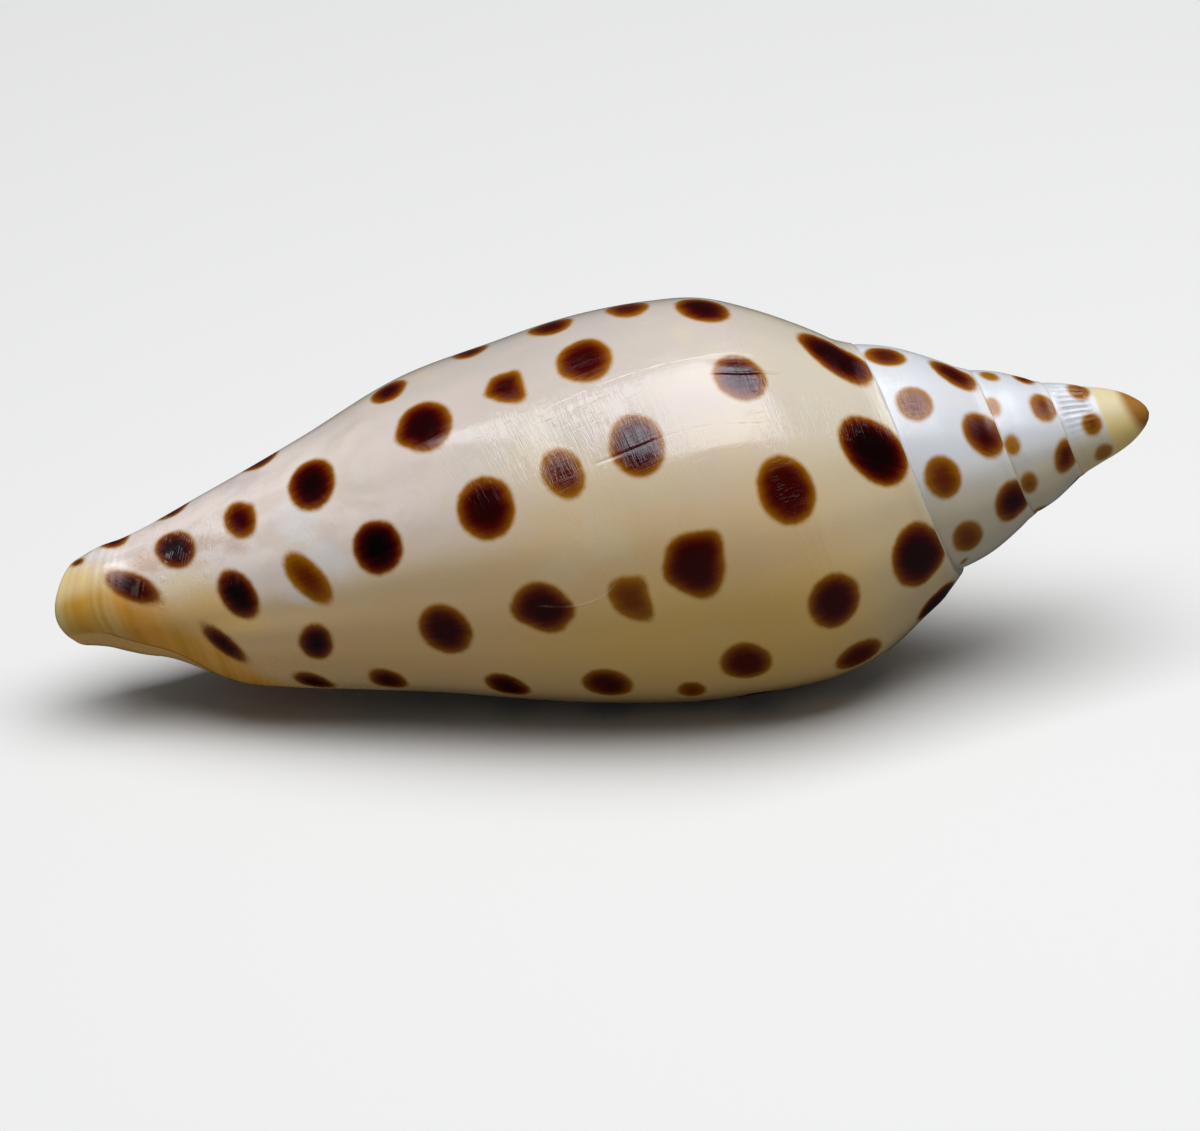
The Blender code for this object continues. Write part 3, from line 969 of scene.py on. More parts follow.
# Spots that show on the back and right side. Lean and horns are in degrees from the siphonal end.
SPOTS = (
    Spot(137.3, 33.9, 4.0, 2.6, 138, 0.6),
    Spot(184.3, 34.0, 3.75, 2.75, 135, 0.78),
    Spot(234.2, 33.6, 3.3, 2.8, 110, 0.57, ((148, 0.14),)),
    Spot(274.5, 34.1, 2.6, 2.1, 130, 0.8),
    Spot(122.9, 45.8, 3.2, 2.2, 110, 0.56),
    Spot(156.7, 45.4, 2.65, 2.3, 110, 0.5),
    Spot(193.4, 45.1, 3.15, 2.6, 105, 0.42),
    Spot(232.1, 44.5, 2.9, 2.45, 100, 0.43),
    Spot(262.5, 44.6, 2.5, 2.1, 120, 0.34),
    Spot(113.5, 61.0, 2.6, 1.9, 110, 0.42),
    Spot(114.7, 52.9, 2.9, 1.8, 100, 0.32),
    Spot(139.4, 60.2, 3.05, 2.35, 105, 0.43, ((20, 0.1), (250, 0.08))),
    Spot(172.2, 59.1, 2.95, 2.4, 100, 0.46),
    Spot(208.7, 58.2, 3.0, 2.6, 100, 0.46, ((12, 0.14), (222, 0.3), (105, 0.12))),
    Spot(246.5, 57.4, 2.7, 2.2, 100, 0.36),
    Spot(109.2, 69.3, 2.2, 1.6, 100, 0.42),
    Spot(140.1, 69.1, 2.05, 1.5, 110, 0.5, ((5, 0.3), (232, 0.34), (122, 0.28))),
    Spot(174.5, 67.9, 2.4, 1.75, 108, 0.3),
    Spot(215.6, 66.9, 2.15, 1.6, 112, 0.2, ((122, 0.24), (226, 0.36), (330, 0.1))),
    Spot(258.4, 65.5, 1.6, 1.2, 100, 0.22),
    Spot(114.6, 78.9, 2.4, 1.7, 100, 0.5),
    Spot(143.2, 78.7, 3.0, 2.45, 108, 0.6, ((8, 0.16),)),
    Spot(178.3, 77.4, 2.85, 2.6, 100, 0.54),
    Spot(214.5, 76.8, 2.6, 2.2, 110, 0.5, ((5, 0.32), (170, 0.2), (328, 0.14))),
    Spot(250.8, 74.8, 2.5, 2.15, 110, 0.38),
    Spot(103.0, 92.1, 2.4, 1.8, 100, 0.5),
    Spot(142.8, 91.8, 2.75, 2.25, 95, 0.73),
    Spot(180.3, 90.4, 2.4, 2.3, 90, 1.),
    Spot(218.8, 89.1, 2.6, 2.3, 110, 0.47),
    Spot(253.3, 87.1, 2.4, 1.7, 120, 0.6),
    Spot(100.6, 101.6, 2.0, 1.6, 100, 0.6),
    Spot(141.7, 100.0, 2.05, 1.4, 105, 0.62, ((215, 0.16),)),
    Spot(184.0, 99.3, 2.75, 1.35, 124, 0.27),
    Spot(220.4, 104.5, 1.85, 1.5, 80, 0.8),
    Spot(252.0, 101.1, 2.0, 1.5, 120, 0.49),
    Spot(102.6, 108.3, 1.8, 1.3, 100, 0.6),
    Spot(137.6, 106.9, 2.15, 1.65, 130, 0.9),
    Spot(181.5, 107.0, 2.35, 1.65, 118, 1.0),
    Spot(217.7, 114.9, 2.3, 0.9, 134, 1.0),
    Spot(256.5, 110.6, 2.0, 1.2, 140, 0.7),
    Spot(109.7, 113.5, 0.75, 0.5, 120, 0.9),
    Spot(147.0, 113.5, 2.75, 1.15, 142, 0.8),
    Spot(486.9, 44.2, 2.0, 1.75, 100, 0.33),
    Spot(522.4, 43.1, 1.75, 1.6, 100, 0.2),
    Spot(562.7, 43.2, 1.9, 1.6, 110, 0.26),
    Spot(602.2, 43.0, 1.85, 1.4, 100, 0.2),
    Spot(492.2, 34.1, 2.5, 1.7, 132, 0.46),
    Spot(541.9, 33.5, 2.25, 1.75, 125, 0.47),
    Spot(595.5, 32.9, 2.1, 1.9, 120, 0.52),
    Spot(844.4, 43.8, 1.1, 0.65, 110, 0.09),
    Spot(881.1, 46.9, 0.85, 0.6, 100, 0.08),
    Spot(913.6, 45.8, 0.85, 0.65, 95, 0.1),
    Spot(948.4, 45.3, 1.0, 0.68, 95, 0.18),
    Spot(838.5, 35.2, 1.15, 0.9, 100, 0.5),
    Spot(883.3, 33.7, 1.4, 1.2, 100, 0.26),
    Spot(941.2, 32.9, 1.5, 1.15, 75, 0.42),
    Spot(1213.9, 35.2, 1.3, 0.9, 100, 0.19),
    Spot(1274.1, 35.4, 0.95, 0.85, 95, 0.25),
    Spot(1328.2, 35.3, 0.95, 0.8, 95, 0.07),
    Spot(623.2, 45.9, 0.32, 0.14, 60, 1.0),
)


@dataclass(frozen=True)
class Scar:
    """A line where growth paused.

    It has the turn that it lies on at each row, the rows between its ends, how deep it is cut, below
    0 where it stands up instead, whether it breaks off and starts again, and the height of the bank
    that rises towards it.
    """

    course: Curve
    shows: tuple[float, float]
    deep: float
    broken: bool = True
    bank: float = 0.0


LONG_PAUSE = Curve(
    (30, 178), (44, 173), (47.3, 172.1), (51.7, 171.1), (56.1, 171.7), (58.7, 172.7), (63.6, 174.2),
    (68, 175), (120, 190),
)
SCARS = (
    Scar(
        Curve(
            (30, 139), (34, 137), (38, 134.5), (40, 130.5), (42.5, 128), (48, 126.5), (54, 127.5),
            (58.6, 131.4), (60.5, 133.7), (66.4, 137.6), (71, 137), (76, 139), (120, 150),
        ),
        (31.5, 74), 0.15,
    ),
    Scar(
        Curve(
            (30, 154), (38, 150), (41.3, 148.7), (45.3, 147.2), (48.6, 147.9), (54.2, 148.9),
            (59.9, 150.4), (64.5, 152.2), (70.8, 154.3), (76, 155.5), (120, 165),
        ),
        (40, 77), -0.4,
    ),
    Scar(LONG_PAUSE, (43, 65), 0.3),
    Scar(LONG_PAUSE, (55.3, 65.5), 1.0, False),
    Scar(
        Curve((30, 157), (42.6, 154.6), (45.2, 155.4), (47.8, 154.7), (120, 160)),
        (40, 49.5), 2.2, False, 2.2,
    ),
    Scar(
        Curve(
            (30, 200), (66.5, 207), (68.5, 211.5), (71, 214.5), (74, 215), (77, 213.5), (120, 200),
        ),
        (66.5, 78), -0.4,
    ),
)

# Three scars to a vector of the mesh, by the vector's name.
SCAR_GROUPS = {"long_scars": SCARS[:3], "short_scars": SCARS[3:]}


@dataclass(frozen=True)
class HiddenRow:
    """One line of spots continued over the far side: its row, spacing and usual half sizes."""

    row: float
    turns: tuple[float, ...]
    long: float
    wide: float
    lean: float = 105.0
    tone: float = 0.5


HIDDEN_ROWS = (
    HiddenRow(34.0, (92, 47, 8, 318, 348), 3.3, 2.6, 130),
    HiddenRow(45.2, (88, 52, 18, 296, 330), 2.9, 2.4),
    HiddenRow(59.5, (76, 44, 12, 282, 316, 346), 2.8, 2.3),
    HiddenRow(68.5, (74, 38, 6, 290, 324, 352), 2.1, 1.6, 105, 0.3),
    HiddenRow(78.0, (78, 42, 10, 286, 320, 350), 2.7, 2.3),
    HiddenRow(91.0, (72, 38, 8, 290, 326, 354), 2.4, 2.0),
    HiddenRow(101.0, (76, 40, 8, 288, 324), 1.9, 1.5),
    HiddenRow(108.0, (72, 36, 6, 290, 328), 1.9, 1.5, 125),
    HiddenRow(34.0, (440, 392, 660, 698), 2.2, 1.7, 125, 0.45),
    HiddenRow(44.0, (452, 414, 377, 648, 682, 710), 1.9, 1.6, 100, 0.26),
    HiddenRow(34.0, (795, 750, 1006, 1044), 1.3, 1.1, 95, 0.3),
    HiddenRow(45.5, (808, 770, 735, 992, 1024, 1056), 0.9, 0.6, 95, 0.12),
    HiddenRow(35.2, (1155, 1100, 1070), 1.0, 0.85, 95, 0.2),
)


@dataclass
class SpotPattern:
    """Every spot of the shell, and how deep a place lies within the nearest one."""

    form: ShellForm
    seed: int = 1847
    # Degrees and half sizes within which a spot is measured, and the reading far from any.
    reach: float = 60.0
    nearby: float = 2.2
    far: float = -9.0
    # Half-width of a horn in radians, and the deepest reading in half sizes.
    horn_width: float = 0.42
    deepest: float = 1.15

    def all_spots(self) -> list[Spot]:
        """List the placed spots, then those of the far side with small chance differences.

        Returns:
            The spots.
        """
        chance = np.random.default_rng(self.seed)
        spots = list(SPOTS)
        for line in HIDDEN_ROWS:
            for turn in line.turns:
                size = chance.uniform(0.85, 1.12)
                spots.append(
                    Spot(
                        turn + chance.uniform(-4, 4),
                        line.row + chance.uniform(-1.0, 1.0),
                        line.long * size,
                        line.wide * size * chance.uniform(0.92, 1.08),
                        line.lean + chance.uniform(-12, 12),
                        line.tone * chance.uniform(0.8, 1.15),
                        ((chance.uniform(0, 360), chance.uniform(0.0, 0.16)),),
                    )
                )
        return spots

    def skin_point(self, turn: Array, depth: Array) -> Array:
        """Find points of the plain outside at given turns and depths."""
        held = np.minimum(depth, self.form.body_end)
        return self.form.place(turn, depth, self.form.outer_radius(turn, held))

    def reading(self, turn: Array, depth: Array) -> tuple[Array, Array]:
        """Measure how deep places lie within the nearest spot, and how dark that spot is.

        Args:
            turn: Growth angles.
            depth: Depths.

        Returns:
            Millimetres inside the edge of a spot, and the tone of the spot.
        """
        points = self.skin_point(turn, depth)
        result = np.full(turn.shape, self.far)
        tone = np.full(turn.shape, 1.0)
        for spot in self.all_spots():
            centre_depth = float(spot.row * self.form.grow(spot.turn))
            centre = self.skin_point(np.array(spot.turn), np.array(centre_depth))
            near = np.abs(turn - spot.turn) < self.reach
            near &= np.abs(points - centre).max(-1) < self.nearby * spot.long
            if not near.any():
                continue
            ahead = self.skin_point(np.array(spot.turn + 0.5), np.array(centre_depth))
            around = ahead - self.skin_point(np.array(spot.turn - 0.5), np.array(centre_depth))
            around = around / np.linalg.norm(around)
            along = self.skin_point(np.array(spot.turn), np.array(centre_depth + 0.3)) - centre
            along = along - around * (along @ around)
            along = along / np.linalg.norm(along)
            offset = points[near] - centre
            x, y = offset @ along, offset @ around
            inside = self.depth_inside(spot, x, y)
            tone[near] = np.where(inside > result[near], spot.tone, tone[near])
            result[near] = np.maximum(result[near], inside)
        return result, tone

    def depth_inside(self, spot: Spot, x: Array, y: Array) -> Array:
        """Measure how deep points lie within one spot.

        Args:
            spot: The spot.
            x: Millimetres from its centre towards the siphonal end.
            y: Millimetres from its centre round the whorl.

        Returns:
            Millimetres inside its edge, below 0 outside.
        """
        angle = np.arctan2(y, x)
        lean = math.radians(spot.lean)
        edge = 1 / np.sqrt(
            (np.cos(angle - lean) / spot.long) ** 2 + (np.sin(angle - lean) / spot.wide) ** 2
        )
        for direction, reach in spot.horns:
            off = np.angle(np.exp(1j * (angle - math.radians(direction))))
            edge = edge * (1 + reach * bump(0.0, self.horn_width, off))
        return (1 - np.hypot(x, y) / edge) * np.minimum(edge, self.deepest * spot.wide)


@dataclass
class VoluteShell:
    """The whole shell: one closed body with its paint."""

    form: ShellForm
    name: str = "shell_body"
    sharp_angle: float = 38.0
    # Paint measure to a degree of growth, and the rows that scars are read between.
    growth_pace: float = 0.35
    scar_rows: tuple[float, float] = (30.0, 120.0)
    # Depth, sway and turned angle of the stained tip, then the sway and angle of the canal's slope.
    tip_zone: tuple[float, float, float] = (3.65, 0.8, 0.26)
    canal_zone: tuple[float, float] = (5.5, 1.75)
    to_table: Matrix = field(default_factory=Matrix)

    def build(self) -> bpy.types.Object:
        """Cut the cavity out of the filled outside and write what the paint needs.

        Returns:
            The finished object, lying on its aperture.
        """
        skin = Skin(self.form).build()
        cavity = Cavity(self.form).build()
        body, space = skin.make(self.name), cavity.make("space")
        cut = body.modifiers.new("aperture", "BOOLEAN")
        cut.operation = "DIFFERENCE"
        cut.solver = "EXACT"
        cut.object = space
        graph = bpy.context.evaluated_depsgraph_get()
        done = bpy.data.meshes.new_from_object(body.evaluated_get(graph))
        body.modifiers.clear()
        body.data = done
        bpy.data.objects.remove(space)
        self.tidy(done)
        self.write_marks(done, skin, cavity)
        self.lay_down(done)
        done.set_sharp_from_angle(angle=math.radians(self.sharp_angle))
        log.info("%s: %d faces, %d points", self.name, len(done.polygons), len(done.vertices))
        return body

    def tidy(self, data: bpy.types.Mesh) -> None:
        """Split every face into triangles and drop loose points.

        Args:
            data: Mesh that is changed.
        """
        work = bmesh.new()
        work.from_mesh(data)
        bmesh.ops.triangulate(work, faces=work.faces)
        loose = [v for v in work.verts if not v.link_faces]
        bmesh.ops.delete(work, geom=loose, context="VERTS")
        for face in work.faces:
            face.smooth = True
        work.to_mesh(data)
        work.free()

    def corner_marks(
        self, data: bpy.types.Mesh, skin: Facets, cavity: Facets
    ) -> tuple[Array, Array, Array]:
        """Carry turn, depth and side over from the two bodies that the shell was cut from.

        Args:
            data: Triangles of the finished shell, in millimetres.
            skin: The outside.
            cavity: The space inside.

        Returns:
            Turn, depth and side of every face corner.
        """
        points = np.concatenate([skin.all_points(), cavity.all_points()])
        triangles = np.concatenate([skin.all_triangles(), cavity.all_triangles() + skin.count])
        marks = np.concatenate([skin.all_marks(), cavity.all_marks()])
        tree = BVHTree.FromPolygons(points.tolist(), triangles.tolist())
        co = np.empty(len(data.vertices) * 3, np.float32)
        data.vertices.foreach_get("co", co)
        co = co.reshape(-1, 3).astype(float)
        corner = np.empty(len(data.loops), np.int32)
        data.loops.foreach_get("vertex_index", corner)
        corners = co[corner].reshape(-1, 3, 3)
        source = np.array([tree.find_nearest(Vector(c))[2] for c in corners.mean(1)])
        a, b, c = (points[triangles[source, k]] for k in range(3))
        u, v = b - a, c - a
        uu, uv, vv = (u * u).sum(1), (u * v).sum(1), (v * v).sum(1)
        under = np.maximum(uu * vv - uv * uv, 1e-12)
        found = marks[source]
        read = np.empty((len(corners), 3, 2))
        for k in range(3):
            w = corners[:, k] - a
            wu, wv = (w * u).sum(1), (w * v).sum(1)
            s = np.clip((vv * wu - uv * wv) / under, -0.2, 1.2)
            t = np.clip((uu * wv - uv * wu) / under, -0.2, 1.2)
            part = found[:, 0, :2] * (1 - s - t)[:, None]
            read[:, k] = part + found[:, 1, :2] * s[:, None] + found[:, 2, :2] * t[:, None]
        side = np.repeat(found[:, :, 2].min(1), 3)
        return read[..., 0].reshape(-1), read[..., 1].reshape(-1), side

    def write_marks(self, data: bpy.types.Mesh, skin: Facets, cavity: Facets) -> None:
        """Write what the paint reads: pigment, growth lines and zones of colour.

        Args:
            data: Triangles of the finished shell, in millimetres.
            skin: The outside.
            cavity: The space inside.
        """
        form = self.form
        turn, depth, side = self.corner_marks(data, skin, cavity)
        held = np.minimum(depth, form.body_end)
        row = depth / form.grow(turn)
        level = form.level_at(turn, held)
        pigment, tone = SpotPattern(form).reading(turn, depth)
        pigment = np.where(side == Side.PILLAR.value, SpotPattern.far, pigment)
        growth = turn - LIP_LAG.at(np.clip(level, 0, 2))
        angle = np.mod(turn + form.lip_angle + 60, FULL_TURN) - 60
        round_angle = np.radians(angle)
        self.write(data, "pigment", pigment)
        self.write(data, "tone", tone)
        self.write(data, "flank", FLANK.at(angle))
        self.write(data, "spire", ease(330, 430, turn))
        first = np.maximum(ease(1285, 1400, turn), ease(0.0, 0.35, form.suture(turn) - depth))
        self.write(data, "first_whorls", first)
        down, sway, aside = self.tip_zone
        self.write(data, "tip", down + sway * np.cos(round_angle + aside) - depth)
        sway, aside = self.canal_zone
        self.write(data, "canal_end", depth + sway * np.cos(round_angle - aside))
        self.write(data, "from_rim", form.rim_depth(turn) - depth)
        self.write(data, "inside", (side > 0).astype(float))
        self.write(data, "below_seam", depth - form.suture(turn))
        above = form.suture(turn - FULL_TURN) - depth
        self.write(data, "above_seam", np.where(turn > FULL_TURN, above, 9.0))
        self.write_vector(data, "growth_lines", growth * self.growth_pace, row, 0.0 * row)
        around = np.radians(1.0) * form.outer_radius(turn, held)
        held_row = np.clip(row, *self.scar_rows)
        for name, scars in SCAR_GROUPS.items():
            away = [(turn - scar.course.at(held_row)) * around for scar in scars]
            self.write_vector(data, name, *away)

    def write(self, data: bpy.types.Mesh, name: str, values: Array) -> None:
        """Write one number for each face corner."""
        made = data.attributes.new(name, "FLOAT", "CORNER")
        made.data.foreach_set("value", np.asarray(values, np.float32).ravel())

    def write_vector(
        self, data: bpy.types.Mesh, name: str, x: Array, y: Array, z: Array
    ) -> None:
        """Write three numbers for each face corner."""
        made = data.attributes.new(name, "FLOAT_VECTOR", "CORNER")
        made.data.foreach_set("vector", np.stack([x, y, z], -1).astype(np.float32).ravel())

    def lay_down(self, data: bpy.types.Mesh) -> None:
        """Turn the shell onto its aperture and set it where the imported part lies, in metres.

        Args:
            data: Mesh that is moved.
        """
        turned = Matrix(self.form.at_rest().tolist()).to_4x4() @ Matrix.Scale(MM, 4)
        data.transform(turned)
        co = np.empty(len(data.vertices) * 3, np.float32)
        data.vertices.foreach_get("co", co)
        co = co.reshape(-1, 3)
        low, high = co.min(0), co.max(0)
        middle = (low + high) / 2
        moved = Matrix.Translation((-middle[0], -middle[1], -low[2]))
        data.transform(moved)
        self.to_table = moved @ turned


Socket = bpy.types.NodeSocket
Colour = tuple[float, float, float, float]


def shade(red: int, green: int, blue: int) -> Colour:
    """Turn an everyday 0 to 255 colour into the linear colour that a shader takes.

    Args:
        red: Red, 0 to 255.
        green: Green, 0 to 255.
        blue: Blue, 0 to 255.

    Returns:
        Linear red, green, blue and full alpha.
    """
    parts = []
    for part in (red, green, blue):
        share = part / 255
        parts.append(share / 12.92 if share <= 0.04045 else ((share + 0.055) / 1.055) ** 2.4)
    return (*parts, 1.0)


class Palette:
    """Short words for building one node material."""

    def __init__(self, name: str) -> None:
        """Start a material with one Principled surface.

        Args:
            name: Name of the material.
        """
        self.material = bpy.data.materials.new(name)
        self.material.use_nodes = True
        self.tree = self.material.node_tree
        self.surface = self.tree.nodes["Principled BSDF"]

    def node(self, kind: str, **settings: object) -> bpy.types.Node:
        """Add a node.

        Args:
            kind: Blender's name for the kind of node.
            settings: Properties to set on it.

        Returns:
            The node.
        """
        made = self.tree.nodes.new(kind)
        for key, value in settings.items():
            setattr(made, key, value)
        return made

    def feed(self, socket: Socket, value: object) -> None:
        """Link a socket to another, or give it a plain value.

        Args:
            socket: Input that is fed.
            value: Output that feeds it, or the value.
        """
        if isinstance(value, bpy.types.NodeSocket):
            self.tree.links.new(value, socket)
        else:
            socket.default_value = value

    def read(self, name: str, output: str = "Fac") -> Socket:
        """Read one of the shell's own values by name."""
        return self.node("ShaderNodeAttribute", attribute_name=name).outputs[output]

    def sum(self, kind: str, a: object, b: object = 0.0, c: object = 0.0) -> Socket:
        """Work out one sum.

        Args:
            kind: Blender's name for the sum, such as ADD.
            a: First value or socket.
            b: Second value or socket.
            c: Third value or socket.

        Returns:
            The result.
        """
        made = self.node("ShaderNodeMath", operation=kind)
        for socket, value in zip(made.inputs, (a, b, c)):
            self.feed(socket, value)
        return made.outputs[0]

    def times(self, *values: object) -> Socket:
        """Multiply values and sockets.

        Args:
            values: Two or more of them.

        Returns:
            The product.
        """
        result = values[0]
        for value in values[1:]:
            result = self.sum("MULTIPLY", result, value)
        return result

    def added(self, value: object, share: object, base: object) -> Socket:
        """Add a share of one value to another."""
        return self.sum("MULTIPLY_ADD", value, share, base)

    def parts(self, vector: Socket) -> tuple[Socket, Socket, Socket]:
        """Split a vector into its three parts.

        Args:
            vector: Vector that is split.

        Returns:
            The parts.
        """
        made = self.node("ShaderNodeSeparateXYZ")
        self.feed(made.inputs[0], vector)
        return tuple(made.outputs)

    def span(
        self, value: object, low: float, high: float, out: tuple[float, float] = (0, 1)
    ) -> Socket:
        """Stretch a value smoothly from one range to another.

        Args:
            value: Value or socket.
            low: Start of the range that is read.
            high: End of the range that is read.
            out: Range that is given back.

        Returns:
            The stretched value.
        """
        made = self.node("ShaderNodeMapRange", interpolation_type="SMOOTHSTEP")
        for socket, given in zip(made.inputs, (value, low, high, *out)):
            self.feed(socket, given)
        return made.outputs[0]

    def window(self, value: Socket, start: float, full: float, fade: float, stop: float) -> Socket:
        """Find where a value lies between two limits, softly.

        Args:
            value: Value that is read.
            start: Where the window begins to open.
            full: Where it is open.
            fade: Where it begins to close.
            stop: Where it is shut.

        Returns:
            1 inside and 0 outside.
        """
        return self.times(self.span(value, start, full), self.span(value, stop, fade))

    def blend(self, share: object, a: object, b: object) -> Socket:
        """Mix two colours.

        Args:
            share: How much of the second one.
            a: First colour or socket.
            b: Second colour or socket.

        Returns:
            The mixed colour.
        """
        made = self.node("ShaderNodeMix", data_type="RGBA")
        self.feed(made.inputs["Factor"], share)
        self.feed(made.inputs[6], a)
        self.feed(made.inputs[7], b)
        return made.outputs[2]

    def ramp(self, value: Socket, stops: tuple[tuple[float, Colour], ...]) -> Socket:
        """Run a value through a row of colours.

        Args:
            value: Value, 0 to 1.
            stops: Place and colour of each stop.

        Returns:
            The colour.
        """
        made = self.node("ShaderNodeValToRGB")
        row = made.color_ramp.elements
        while len(row) < len(stops):
            row.new(0.5)
        for stop, (place, colour) in zip(row, stops):
            stop.position = place
            stop.color = colour
        self.feed(made.inputs[0], value)
        return made.outputs[0]

    def stretched(self, vector: Socket, scale: tuple[float, float, float]) -> Socket:
        """Scale a vector part by part.

        Args:
            vector: Vector that is scaled.
            scale: One factor for each part.

        Returns:
            The scaled vector.
        """
        made = self.node("ShaderNodeMapping")
        self.feed(made.inputs["Vector"], vector)
        self.feed(made.inputs["Scale"], scale)
        return made.outputs[0]

    def joined(self, value: Socket) -> Socket:
        """Use one value as a place along a line.

        Args:
            value: Value to use.

        Returns:
            The place.
        """
        made = self.node("ShaderNodeCombineXYZ")
        self.feed(made.inputs[0], value)
        return made.outputs[0]

    def cloud(
        self, vector: Socket, scale: float, detail: float = 2.0, rough: float = 0.5, twist: float = 0.0
    ) -> Socket:
        """Make soft noise.

        Args:
            vector: Where to read it.
            scale: How fine it is.
            detail: Number of finer layers.
            rough: Strength of the finer layers.
            twist: How far it is pulled about.

        Returns:
            A value around 0.5.
        """
        made = self.node("ShaderNodeTexNoise")
        self.feed(made.inputs["Vector"], vector)
        given = {"Scale": scale, "Detail": detail, "Roughness": rough, "Distortion": twist}
        for key, value in given.items():
            self.feed(made.inputs[key], value)
        return made.outputs[0]

    def sway(self, vector: Socket, scale: float, detail: float = 2.0) -> Socket:
        """Make soft noise around 0."""
        return self.sum("SUBTRACT", self.cloud(vector, scale, detail), 0.5)

    def raised(
        self, height: Socket, distance: float, strength: float, under: Socket | None = None
    ) -> Socket:
        """Turn a height into a bend of the surface.

        Args:
            height: Height, 0 to 1.
            distance: Metres for a height of 1.
            strength: Share of it that is used.
            under: Normal that it bends, if not the plain one.

        Returns:
            The bent normal.
        """
        made = self.node("ShaderNodeBump")
        self.feed(made.inputs["Height"], height)
        self.feed(made.inputs["Distance"], distance)
        self.feed(made.inputs["Strength"], strength)
        if under is not None:
            self.feed(made.inputs["Normal"], under)
        return made.outputs[0]


@dataclass(frozen=True)
class ShellGlaze:
    """The shell's finish: creamy porcelain with dark spots, under a hard natural gloss, with painted
    shade in the suture creases and painted sheen and glints near the siphonal end and on raised scars.
    """

    flank_stops: tuple[tuple[float, Colour], ...] = (
        (0.0, shade(210, 199, 190)),
        (0.25, shade(224, 211, 194)),
        (0.42, shade(231, 209, 177)),
        (0.52, shade(230, 201, 156)),
        (0.66, shade(233, 198, 142)),
        (0.86, shade(246, 204, 122)),
    )
    pink: Colour = shade(221, 203, 196)
    butter: Colour = shade(232, 214, 176)
    milk: Colour = shade(247, 232, 223)
    buff: Colour = shade(242, 208, 168)
    snow: Colour = shade(227, 229, 233)
    snow_low: Colour = shade(226, 215, 188)
    bone: Colour = shade(230, 214, 166)
    bone_low: Colour = shade(255, 224, 142)
    orange: Colour = shade(168, 108, 2)
    lining: Colour = shade(236, 210, 176)
    # Painted shade for the crease just above each suture.
    seam_shade: Colour = shade(138, 116, 92)
    # Pale rim below each suture, also used as the painted glint on raised scars and wrinkles.
    pale_rim_and_glint: Colour = shade(243, 236, 222)
    scar_dark: Colour = shade(176, 150, 116)
    end_pale: Colour = shade(245, 219, 162)
    end_gold: Colour = shade(224, 158, 40)
    end_line: Colour = shade(186, 120, 44)
    end_hem: Colour = shade(255, 208, 130)
    # Bluish-white and warm white of the painted sheen marks near the siphonal end.
    sheen_white: Colour = shade(240, 238, 240)
    sheen_white_warm: Colour = shade(244, 240, 240)
    # A bright cream for a band near the siphonal end, partly its own colour and partly painted sheen.
    cream_and_sheen: Colour = shade(255, 234, 196)
    cream_and_sheen_low: Colour = shade(255, 208, 124)
    end_stops: tuple[tuple[float, Colour], ...] = (
        (0.0, shade(224, 206, 150)),
        (0.05, shade(220, 182, 96)),
        (0.15, shade(226, 174, 70)),
        (0.3, shade(236, 197, 124)),
        (0.4, shade(235, 168, 70)),
        (0.55, shade(255, 186, 78)),
        (0.8, shade(255, 190, 90)),
    )
    # Millimetres back from the siphonal rim that end_stops run over.
    end_length: float = 15.0
    # Lines round the siphonal end: rows between which each grows, its share and colour.
    end_edges: tuple = ((123.6, 124.3, 0.7, end_line), (124.3, 125.2, 0.9, end_hem))
    ink_stops: tuple[tuple[float, Colour], ...] = (
        (0.0, shade(188, 130, 40)),
        (0.045, shade(170, 112, 20)),
        (0.073, shade(160, 100, 8)),
        (0.107, shade(147, 88, 3)),
        (0.143, shade(135, 73, 2)),
        (0.183, shade(122, 59, 2)),
        (0.22, shade(111, 46, 2)),
        (0.257, shade(101, 34, 1)),
        (0.3, shade(90, 24, 1)),
        (0.34, shade(80, 15, 1)),
        (0.38, shade(70, 7, 1)),
        (0.43, shade(60, 2, 1)),
        (0.49, shade(50, 1, 1)),
        (0.57, shade(38, 1, 1)),
        (0.68, shade(26, 1, 1)),
        (0.85, shade(12, 1, 1)),
        (1.0, shade(5, 1, 1)),
    )
    # Soft marks: place along the growth lines and the rows, half sizes and colour. The pale,
    # bluish-white ones are painted sheen near the siphonal end; the tan ones are the shell's own
    # mottling.
    marks: tuple = (
        ((35.3, 112.0), (2.6, 1.7), sheen_white),
        ((57.5, 96.0), (5.4, 2.8), sheen_white_warm),
        ((62.0, 101.5), (3.4, 2.6), sheen_white),
        ((50.0, 96.0), (5.0, 3.0), sheen_white_warm),
        ((54.5, 101.0), (3.4, 1.6), shade(250, 236, 222)),
        ((45.0, 104.8), (3.2, 2.2), shade(196, 160, 136)),
        ((46.0, 107.5), (4.5, 2.0), shade(222, 190, 166)),
        ((42.5, 110.0), (4.6, 2.0), shade(208, 166, 122)),
        ((48.5, 102.6), (3.4, 1.6), shade(206, 172, 150)),
    )
    mark_strength: float = 0.55
    # Gloss: how rough it is, and how much more on the spire, the first whorls and the end.
    polish: tuple[float, float] = (0.07, 0.14)
    spire_dullness: float = 0.13
    first_dullness: float = 0.36
    end_dullness: float = 0.16
    ior: float = 1.68
    gloss_tint: Colour = shade(246, 247, 255)
    # Rows where a layer starts, is whole, fades and stops.
    worn_end_rows: tuple[float, ...] = (99, 106, 114, 118)
    striae_rows: tuple[float, ...] = (51, 62, 68, 76)
    shoulder_rows: tuple[float, ...] = (42, 43.5, 45.5, 47.5)
